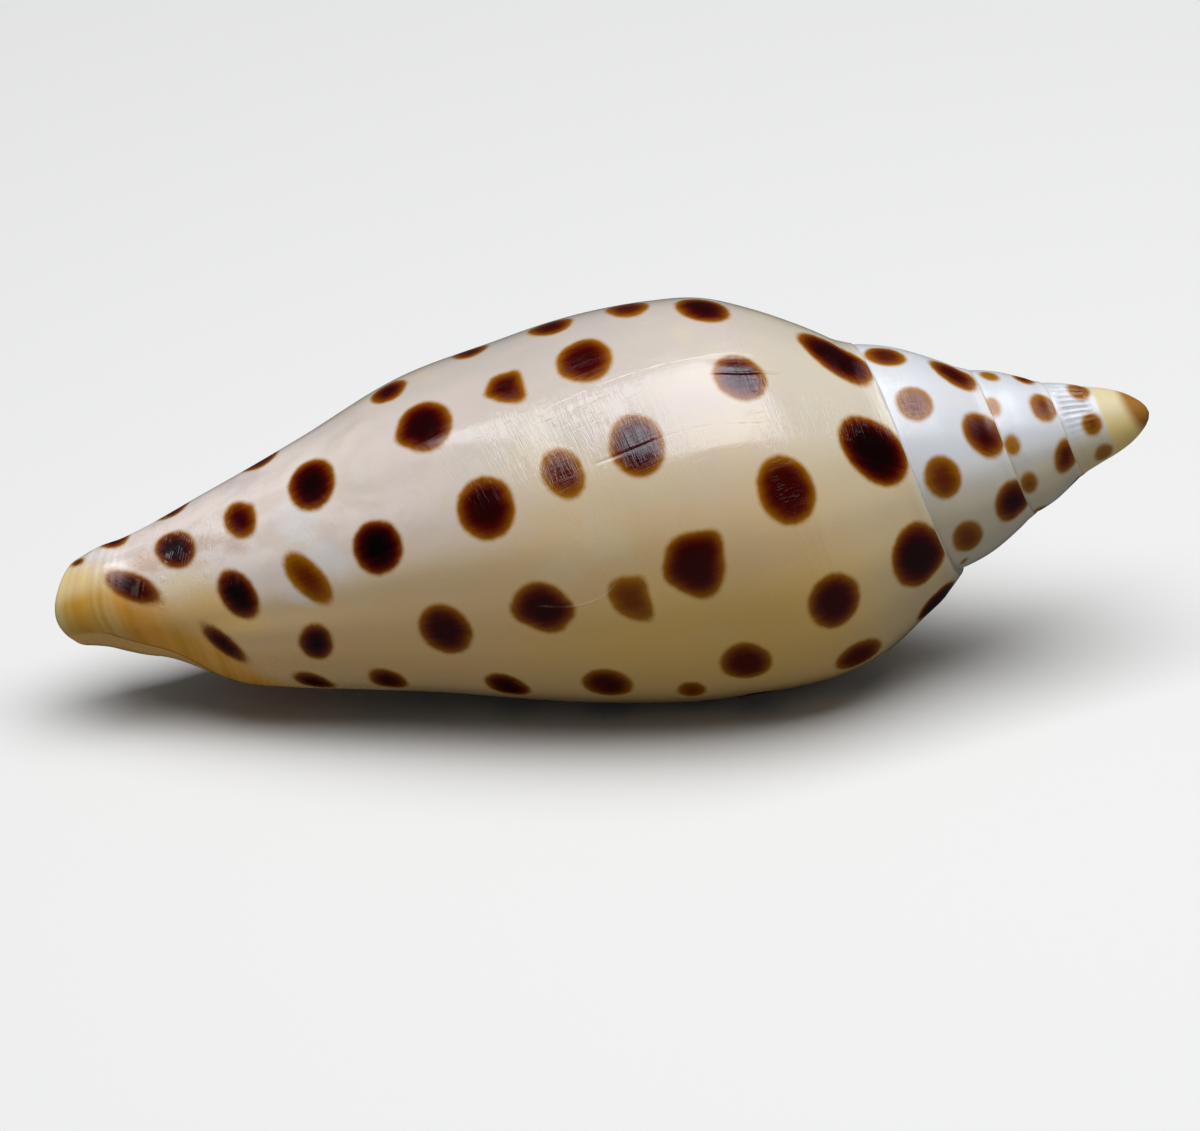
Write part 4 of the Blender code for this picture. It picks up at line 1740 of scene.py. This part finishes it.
    # Rows that a layer grows over, and its share at both ends.
    shoulder_snow: tuple = (47, 36, (0, 0.5))
    shoulder_striae: tuple = (40.5, 37, (0, 0.25))
    lower_buff: tuple = (72, 88, (0, 0.4))
    end_cream_and_sheen: tuple = (105, 110, (0, 0.85))
    end_tan: tuple = (111.6, 116.6)
    # Millimetres back from the siphonal rim.
    wrinkle_reach: tuple[float, ...] = (5.5, 8.5, 14, 18)
    fold_reach: tuple[float, float] = (6.5, 4.5)
    # Light that wanders inside the shell.
    glow: float = 0.12
    glow_colour: tuple[float, float, float] = (1.0, 0.9, 0.75)
    glow_reach: float = 0.0006
    # Pigment: how thick it gets, how fast, and how ragged its edge is.
    fullest: float = 6.0
    thin_gain: float = 0.6
    tone_gain: float = 2.3
    edge_fray: float = 0.16
    edge_sway: float = 0.35
    # Scars and wrinkles: half widths in millimetres, how far cut scars are darkened, and how strongly
    # raised scars and wrinkles are lightened as painted glints.
    thin_line: float = 0.17
    bold_line: float = 0.3
    scar_darkening: float = 0.2
    scar_glint: float = 0.8
    wrinkle_height: float = 0.45
    wrinkle_glint: float = 0.3
    # Relief in shares of its height, grooves by half-width and share, heights in metres.
    growth_relief: float = 0.16
    spiral_relief: float = 0.4
    spiral_grooves: tuple[float, float] = (0.05, 0.5)
    growth_grooves: tuple[float, float] = (0.03, 0.26)
    scar_relief: float = 1.5
    fold_relief: float = 8.0
    relief_height: float = 0.00003
    uneven_height: float = 0.0002
    uneven_share: float = 0.1


class GlazePainter:
    """Builds the shell's material from its glaze."""

    def __init__(self, glaze: ShellGlaze) -> None:
        """Start the material and read the places that every layer needs.

        Args:
            glaze: Colours and strengths of the finish.
        """
        self.glaze = glaze
        self.paint = Palette("shell_glaze")
        place = self.paint.node("ShaderNodeTexCoord").outputs["Object"]
        self.grain = self.paint.stretched(place, (1 / MM, 1 / MM, 1 / MM))
        self.lines = self.paint.read("growth_lines", "Vector")
        self.along, self.row, _ = self.paint.parts(self.lines)
        self.flank = self.paint.read("flank")
        self.back = self.paint.read("from_rim")

    def drawn(
        self, stretch: tuple[float, float], detail: float, rough: float = 0.5, twist: float = 0.0
    ) -> Socket:
        """Make soft noise that is drawn out along the growth lines and the rows.

        Args:
            stretch: How fine it is across the growth lines and across the rows.
            detail: Number of finer layers.
            rough: Strength of the finer layers.
            twist: How far it is pulled about.

        Returns:
            A value around 0.5.
        """
        place = self.paint.stretched(self.lines, (*stretch, 1))
        return self.paint.cloud(place, 1.0, detail, rough, twist)

    def dress(self) -> bpy.types.Material:
        """Build the material.

        Returns:
            The material.
        """
        glaze, paint = self.glaze, self.paint
        creases, banks = self.creases()
        wrinkles = self.wrinkles()
        colour = self.ends(self.ground())
        # Cut scars are darkened towards a deeper tan, most where they are cut deepest.
        colour = paint.blend(paint.times(creases, glaze.scar_darkening), colour, glaze.scar_dark)
        colour = self.spots(colour)
        # Painted glints: raised scars and wrinkles near the siphonal end are lightened towards the
        # pale rim colour.
        painted_glints = paint.times(creases, -glaze.scar_glint)
        painted_glints = paint.sum("MAXIMUM", painted_glints, paint.times(wrinkles, glaze.wrinkle_glint))
        colour = paint.blend(painted_glints, colour, glaze.pale_rim_and_glint)
        cuts = paint.sum("SUBTRACT", paint.sum("SUBTRACT", creases, wrinkles), banks)
        surface = paint.surface
        paint.feed(surface.inputs["Base Color"], colour)
        paint.feed(surface.inputs["Roughness"], self.dullness())
        paint.feed(surface.inputs["Normal"], self.relief(cuts))
        surface.inputs["IOR"].default_value = glaze.ior
        surface.inputs["Subsurface Weight"].default_value = glaze.glow
        surface.inputs["Subsurface Radius"].default_value = glaze.glow_colour
        surface.inputs["Subsurface Scale"].default_value = glaze.glow_reach
        surface.inputs["Specular Tint"].default_value = glaze.gloss_tint
        return paint.material

    def dullness(self) -> Socket:
        """Find how rough the surface is.

        Returns:
            The roughness.
        """
        glaze, paint = self.glaze, self.paint
        rough = paint.span(paint.cloud(self.grain, 0.9, 3), 0.3, 0.75, glaze.polish)
        rough = paint.added(paint.read("spire"), glaze.spire_dullness, rough)
        rough = paint.added(paint.read("first_whorls"), glaze.first_dullness, rough)
        return paint.added(paint.window(self.row, *glaze.worn_end_rows), glaze.end_dullness, rough)

    def ground(self) -> Socket:
        """Colour the shell between its spots, with pale marks of painted sheen near the siphonal end
        and painted shade in the suture creases.

        Returns:
            The colour.
        """
        glaze, paint, flank = self.glaze, self.paint, self.flank
        drift = paint.sway(self.grain, 0.08)
        colour = paint.ramp(paint.added(drift, 0.22, flank), glaze.flank_stops)
        upper = paint.sum("SUBTRACT", 1.0, paint.span(flank, 0.3, 0.56))
        cloud = paint.cloud(self.grain, 0.11, 3)
        rosy = paint.times(paint.span(cloud, 0.52, 0.7, (0, 0.6)), upper)
        colour = paint.blend(rosy, colour, glaze.pink)
        pale = paint.span(cloud, 0.48, 0.3, (0, 0.55))
        pale = paint.times(pale, paint.span(flank, 0.85, 0.5, (0.3, 1)))
        colour = paint.blend(pale, colour, glaze.butter)
        streak = self.drawn((0.5, 0.03), 4, 0.6)
        colour = paint.blend(paint.span(streak, 0.5, 0.8, (0, 0.16)), colour, glaze.butter)
        milky = paint.span(self.drawn((0.14, 0.12), 3, 0.6, 0.5), 0.3, 0.6, (0.35, 1.0))
        milky = paint.times(paint.span(paint.read("canal_end"), 58, 80), upper, milky)
        colour = paint.blend(milky, colour, glaze.milk)
        blush = paint.span(paint.cloud(self.grain, 0.3, 3, 0.6), 0.5, 0.7, (0, 0.4))
        colour = paint.blend(paint.times(blush, upper), colour, glaze.pink)
        # The pale marks are painted sheen; the tan ones are the shell's own mottling.
        for place, size, tint in glaze.marks:
            mark = paint.times(self.blot(place, size), glaze.mark_strength)
            colour = paint.blend(mark, colour, tint)
        colour = paint.blend(paint.span(self.row, *glaze.shoulder_snow), colour, glaze.snow_low)
        low = paint.times(paint.span(self.row, *glaze.lower_buff), paint.span(flank, 0.5, 0.8))
        colour = paint.blend(low, colour, glaze.buff)
        snow = paint.blend(paint.span(flank, 0.45, 0.85), glaze.snow, glaze.snow_low)
        snow = paint.blend(paint.span(cloud, 0.5, 0.7, (0, 0.25)), snow, glaze.butter)
        colour = self.seams(paint.blend(paint.read("spire"), colour, snow))
        bone = paint.blend(paint.span(flank, 0.25, 0.8), glaze.bone, glaze.bone_low)
        return paint.blend(paint.read("first_whorls"), colour, bone)

    def seams(self, ground: Socket) -> Socket:
        """Edge the suture with a pale rim below it and a ragged line of painted shade in the crease
        above it.

        Args:
            ground: Colour beneath.

        Returns:
            The colour.
        """
        glaze, paint = self.glaze, self.paint
        ragged = self.drawn((0.45, 0.0), 3, 0.6)
        rim = paint.span(paint.read("below_seam"), 0.1, 0.75, (0.4, 0))
        colour = paint.blend(rim, ground, glaze.pale_rim_and_glint)
        # Painted shade: a ragged dark line in the crease just above the suture.
        line = paint.span(paint.added(ragged, 0.4, paint.read("above_seam")), 0.2, 0.5, (0.42, 0))
        line = paint.times(line, paint.span(ragged, 0.35, 0.6, (0.4, 1)))
        return paint.blend(line, colour, glaze.seam_shade)

    def ends(self, ground: Socket) -> Socket:
        """Stain the siphonal end, the tip and the inside, and brighten a cream band near the end as
        painted sheen.

        Args:
            ground: Colour beneath.

        Returns:
            The colour.
        """
        glaze, paint, flank = self.glaze, self.paint, self.flank
        soft = paint.sway(self.grain, 0.35, 3)
        row = paint.added(soft, 2.4, self.row)
        back = paint.added(soft, 0.9, self.back)
        tan = paint.ramp(paint.sum("DIVIDE", back, glaze.end_length), glaze.end_stops)
        band = paint.cloud(paint.joined(back), 0.9)
        tan = paint.blend(paint.span(band, 0.4, 0.62, (0, 0.5)), tan, glaze.end_gold)
        tan = paint.blend(paint.span(flank, 0.12, 0.01, (0, 0.8)), tan, glaze.end_pale)
        # Painted sheen: a bright cream band a little way back from the siphonal end on the upper side,
        # partly the shell's own cream.
        cream_sheen_zone = paint.times(
            paint.span(row, *glaze.end_cream_and_sheen), paint.window(flank, 0.06, 0.2, 0.5, 0.8)
        )
        cream_and_sheen = paint.blend(paint.span(flank, 0.16, 0.4), glaze.cream_and_sheen, glaze.cream_and_sheen_low)
        colour = paint.blend(cream_sheen_zone, ground, cream_and_sheen)
        row = paint.sum("SUBTRACT", row, paint.span(flank, 0.26, 0.42, (0, 1.8)))
        colour = paint.blend(paint.span(row, *glaze.end_tan), colour, tan)
        low = paint.span(flank, 0.44, 0.58)
        for start, full, strength, tint in glaze.end_edges:
            edge = paint.times(paint.span(self.row, start, full), low, strength)
            colour = paint.blend(edge, colour, tint)
        tip = paint.added(soft, 0.35, paint.read("tip"))
        colour = paint.blend(paint.span(tip, -0.5, 0.75), colour, glaze.orange)
        return paint.blend(paint.read("inside"), colour, glaze.lining)

    def spots(self, ground: Socket) -> Socket:
        """Lay the dark spots over the ground, thin and golden at the edge, deep in the middle.

        Args:
            ground: Colour beneath.

        Returns:
            The colour.
        """
        glaze, paint = self.glaze, self.paint
        depth = paint.added(paint.sway(self.grain, 1.7, 3), glaze.edge_fray, paint.read("pigment"))
        depth = paint.added(paint.sway(self.grain, 0.42), glaze.edge_sway, depth)
        tone = paint.read("tone")
        gain = paint.added(tone, glaze.tone_gain, glaze.thin_gain)
        gain = paint.times(gain, paint.span(self.drawn((1.2, 0.1), 2), 0.2, 0.8, (0.85, 1.15)))
        amount = paint.times(paint.sum("MAXIMUM", paint.sum("ADD", depth, 0.2), 0.0), gain)
        amount = paint.sum("SMOOTH_MIN", amount, paint.times(tone, glaze.fullest), 1.2)
        inks = paint.ramp(paint.sum("DIVIDE", amount, glaze.fullest), glaze.ink_stops)
        cover = paint.span(depth, -0.45, 0.14)
        cover = paint.times(cover, paint.span(paint.read("inside"), 0, 1, (1, 0.3)))
        return paint.blend(cover, ground, inks)

    def creases(self) -> tuple[Socket, Socket]:
        """Find the lines where growth paused.

        Returns:
            How deep the surface is cut there, 0 away from such a line and below 0 where it stands
            up, and the height of the banks beside them.
        """
        glaze, paint = self.glaze, self.paint
        torn = paint.span(self.drawn((0.1, 0.5), 2), 0.38, 0.6, (0.15, 1))
        total, banks = 0.0, 0.0
        for name, scars in SCAR_GROUPS.items():
            for distance, scar in zip(paint.parts(paint.read(name, "Vector")), scars):
                start, stop = scar.shows
                reach = paint.window(self.row, start, start + 3, stop - 4, stop)
                width = glaze.thin_line if scar.broken else glaze.bold_line
                on = paint.times(paint.span(paint.sum("ABSOLUTE", distance), width, 0.0), reach)
                if scar.broken:
                    on = paint.times(on, torn)
                total = paint.added(on, scar.deep, total)
                if scar.bank:
                    side = paint.times(paint.window(distance, -1.9, -0.45, 1, 6), reach)
                    banks = paint.added(side, scar.bank / glaze.scar_relief, banks)
        return total, banks

    def relief(self, cuts: Socket) -> Socket:
        """Bend the surface with growth lines, spiral lines, scars and a faint unevenness.

        Args:
            cuts: How deep scars and wrinkles are cut.

        Returns:
            The bent normal.
        """
        glaze, paint = self.glaze, self.paint
        growth = self.drawn((2.4, 0.09), 3, 0.65, 0.3)
        spiral = self.drawn((0.16, 1.7), 3, 0.6, 0.4)
        patch = self.striae_patch()
        total = paint.times(growth, glaze.growth_relief)
        total = paint.added(spiral, paint.times(patch, glaze.spiral_relief), total)
        for noise, cut in ((spiral, glaze.spiral_grooves), (growth, glaze.growth_grooves)):
            width, deep = cut
            total = paint.added(paint.times(self.grooves(noise, width), patch), deep, total)
        total = paint.added(cuts, -glaze.scar_relief, total)
        folds = paint.cloud(paint.joined(self.back), 0.85, 1)
        folds = paint.times(folds, paint.span(self.back, *glaze.fold_reach))
        total = paint.added(folds, glaze.fold_relief, total)
        fine = paint.raised(total, glaze.relief_height, 1.0)
        broad = paint.cloud(self.grain, 0.25)
        return paint.raised(broad, glaze.uneven_height, glaze.uneven_share, fine)

    def striae_patch(self) -> Socket:
        """Find where the fine crossing lines are strong.

        Returns:
            The strength of the lines, up to 1.
        """
        glaze, paint = self.glaze, self.paint
        patch = paint.times(
            paint.window(self.row, *glaze.striae_rows),
            paint.span(self.along, 50.5, 53, (0.2, 1)),
            paint.span(self.along, 61.5, 58.5, (0.2, 1)),
        )
        shoulder = paint.times(paint.window(self.row, *glaze.shoulder_rows), 0.5)
        patch = paint.sum("MAXIMUM", patch, shoulder)
        patch = paint.sum("MAXIMUM", patch, paint.span(self.row, *glaze.shoulder_striae))
        patch = paint.added(patch, 0.78, 0.22)
        return paint.times(patch, paint.span(paint.cloud(self.grain, 0.2, 3), 0.35, 0.6, (0.3, 1)))

    def wrinkles(self) -> Socket:
        """Find the short raised wrinkles near the siphonal end.

        Returns:
            The height of a wrinkle, and 0 away from one.
        """
        glaze, paint = self.glaze, self.paint
        across = paint.added(self.along, 0.12, self.back)
        crumple = paint.cloud(paint.joined(across), 1.6, 1, 0.4)
        lit = paint.sum("SUBTRACT", 1.0, self.grooves(crumple, 0.04))
        torn = paint.span(self.drawn((0.35, 0.9), 2), 0.48, 0.6)
        near = paint.window(self.back, *glaze.wrinkle_reach)
        near = paint.times(near, paint.span(self.flank, 0.36, 0.26))
        return paint.times(lit, torn, near, glaze.wrinkle_height)

    def blot(self, place: tuple[float, float], size: tuple[float, float]) -> Socket:
        """Make one soft mark with a cloudy edge.

        Args:
            place: Middle of the mark along the growth lines and the rows.
            size: Half sizes of the mark in the same measures.

        Returns:
            1 in the middle, 0 away from the mark.
        """
        paint = self.paint
        moved = paint.node("ShaderNodeVectorMath", operation="SUBTRACT")
        paint.feed(moved.inputs[0], self.lines)
        paint.feed(moved.inputs[1], (*place, 0.0))
        scaled = paint.stretched(moved.outputs[0], (1 / size[0], 1 / size[1], 1.0))
        length = paint.node("ShaderNodeVectorMath", operation="LENGTH")
        paint.feed(length.inputs[0], scaled)
        edge = self.drawn((0.5, 0.5), 3, 0.6)
        return paint.span(paint.added(edge, 1.2, length.outputs["Value"]), 1.7, 0.8)

    def grooves(self, noise: Socket, width: float) -> Socket:
        """Cut thin grooves where soft noise passes its middle value.

        Args:
            noise: Value around 0.5.
            width: Half-width of a groove, in the noise's own values.

        Returns:
            0 in a groove and 1 beside it.
        """
        away = self.paint.sum("ABSOLUTE", self.paint.sum("SUBTRACT", noise, 0.5))
        return self.paint.span(away, 0.0, width)


@dataclass(frozen=True)
class Studio:
    """Pale table, one large soft light overhead, a faint fill, and the camera."""

    form: ShellForm
    look_angle: float = 60.0
    axis_tilt: float = 12.3
    look_depth: float = 53.2
    look_up: float = -2.5
    frame_width: float = 0.108
    distance: float = 2.0
    sensor: float = 36.0
    box_height: float = 0.6
    box_size: tuple[float, float] = (0.725, 0.606)
    box_centre: tuple[float, float] = (0.06, -0.047)
    box_turn: float = 21.0
    box_power: float = 4.8
    box_colour: tuple[float, float, float] = (0.98, 1.0, 1.03)
    fill: float = 0.12
    fill_in_gloss: float = 0.015
    table: Colour = shade(236, 235, 232)
    table_bounce: Colour = shade(150, 148, 144)
    table_in_gloss: Colour = shade(56, 55, 53)

    def build(self, to_table: Matrix) -> None:
        """Set up the table, the lights and the camera.

        Args:
            to_table: Takes shell millimetres to the place where the shell lies.
        """
        self.lay_table()
        self.hang_lights()
        self.set_camera(to_table)
        bpy.context.scene.view_settings.view_transform = "Standard"

    def lay_table(self) -> None:
        """Make the pale table top, which shows the shell from below too."""
        data = bpy.data.meshes.new("table")
        half = 6.0
        corners = [(-half, -half, 0), (half, -half, 0), (half, half, 0), (-half, half, 0)]
        data.from_pydata(corners, [], [(0, 1, 2, 3)])
        table = bpy.data.objects.new("table", data)
        bpy.context.scene.collection.objects.link(table)
        paint = Palette("table_top")
        path = paint.node("ShaderNodeLightPath")
        colour = paint.blend(path.outputs["Is Glossy Ray"], self.table_bounce, self.table_in_gloss)
        colour = paint.blend(path.outputs["Is Camera Ray"], colour, self.table)
        paint.feed(paint.surface.inputs["Base Color"], colour)
        paint.surface.inputs["Roughness"].default_value = 0.8
        paint.surface.inputs["Specular IOR Level"].default_value = 0.1
        clear = paint.node("ShaderNodeBsdfTransparent")
        mix = paint.node("ShaderNodeMixShader")
        paint.feed(mix.inputs[0], paint.node("ShaderNodeNewGeometry").outputs["Backfacing"])
        paint.feed(mix.inputs[1], paint.surface.outputs[0])
        paint.feed(mix.inputs[2], clear.outputs[0])
        paint.feed(paint.tree.nodes["Material Output"].inputs["Surface"], mix.outputs[0])
        data.materials.append(paint.material)

    def hang_lights(self) -> None:
        """Hang the soft light and set the even fill."""
        lamp = bpy.data.lights.new("overhead", "AREA")
        lamp.shape = "RECTANGLE"
        lamp.size, lamp.size_y = self.box_size
        lamp.energy = self.box_power
        lamp.color = self.box_colour
        hung = bpy.data.objects.new("overhead", lamp)
        hung.location = (*self.box_centre, self.box_height)
        hung.rotation_euler = (0, 0, math.radians(self.box_turn))
        bpy.context.scene.collection.objects.link(hung)
        world = bpy.data.worlds.new("room")
        world.use_nodes = True
        tree = world.node_tree
        ground = tree.nodes["Background"]
        ground.inputs["Color"].default_value = (1, 1, 1, 1)
        strength = tree.nodes.new("ShaderNodeMapRange")
        strength.inputs["To Min"].default_value = self.fill
        strength.inputs["To Max"].default_value = self.fill_in_gloss
        path = tree.nodes.new("ShaderNodeLightPath")
        tree.links.new(path.outputs["Is Glossy Ray"], strength.inputs["Value"])
        tree.links.new(strength.outputs[0], ground.inputs["Strength"])
        bpy.context.scene.world = world

    def set_camera(self, to_table: Matrix) -> None:
        """Point the camera at the shell's back and right side.

        Args:
            to_table: Takes shell millimetres to the place where the shell lies.
        """
        turn = to_table.to_3x3().normalized()
        look, tilt = math.radians(self.look_angle), math.radians(self.axis_tilt)
        back = Vector((0, -math.sin(look), math.cos(look)))
        axis = Vector((1, 0, 0))
        over = back.cross(axis)
        right = turn @ (axis * math.cos(tilt) - over * math.sin(tilt))
        up = turn @ (axis * math.sin(tilt) + over * math.cos(tilt))
        aim = to_table @ (over * self.look_up - axis * self.look_depth)
        data = bpy.data.cameras.new("camera")
        data.sensor_width = self.sensor
        data.lens = self.sensor * self.distance / self.frame_width
        data.clip_start, data.clip_end = 0.1, 20.0
        camera = bpy.data.objects.new("camera", data)
        facing = Matrix((right, up, turn @ back)).transposed().to_4x4()
        camera.matrix_world = Matrix.Translation(aim + turn @ back * self.distance) @ facing
        bpy.context.scene.collection.objects.link(camera)
        bpy.context.scene.camera = camera


def main() -> None:
    """Build the shell, dress it, set the studio and report."""
    logging.basicConfig(level=logging.INFO, format="%(name)s: %(message)s")
    shell = VoluteShell(ShellForm())
    body = shell.build()
    body.data.materials.clear()
    body.data.materials.append(GlazePainter(ShellGlaze()).dress())
    body.data.polygons.foreach_set("material_index", [0] * len(body.data.polygons))
    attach(body, BODY)
    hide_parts(NODE)
    Studio(shell.form).build(shell.to_table)


if __name__ == "__main__":
    main()
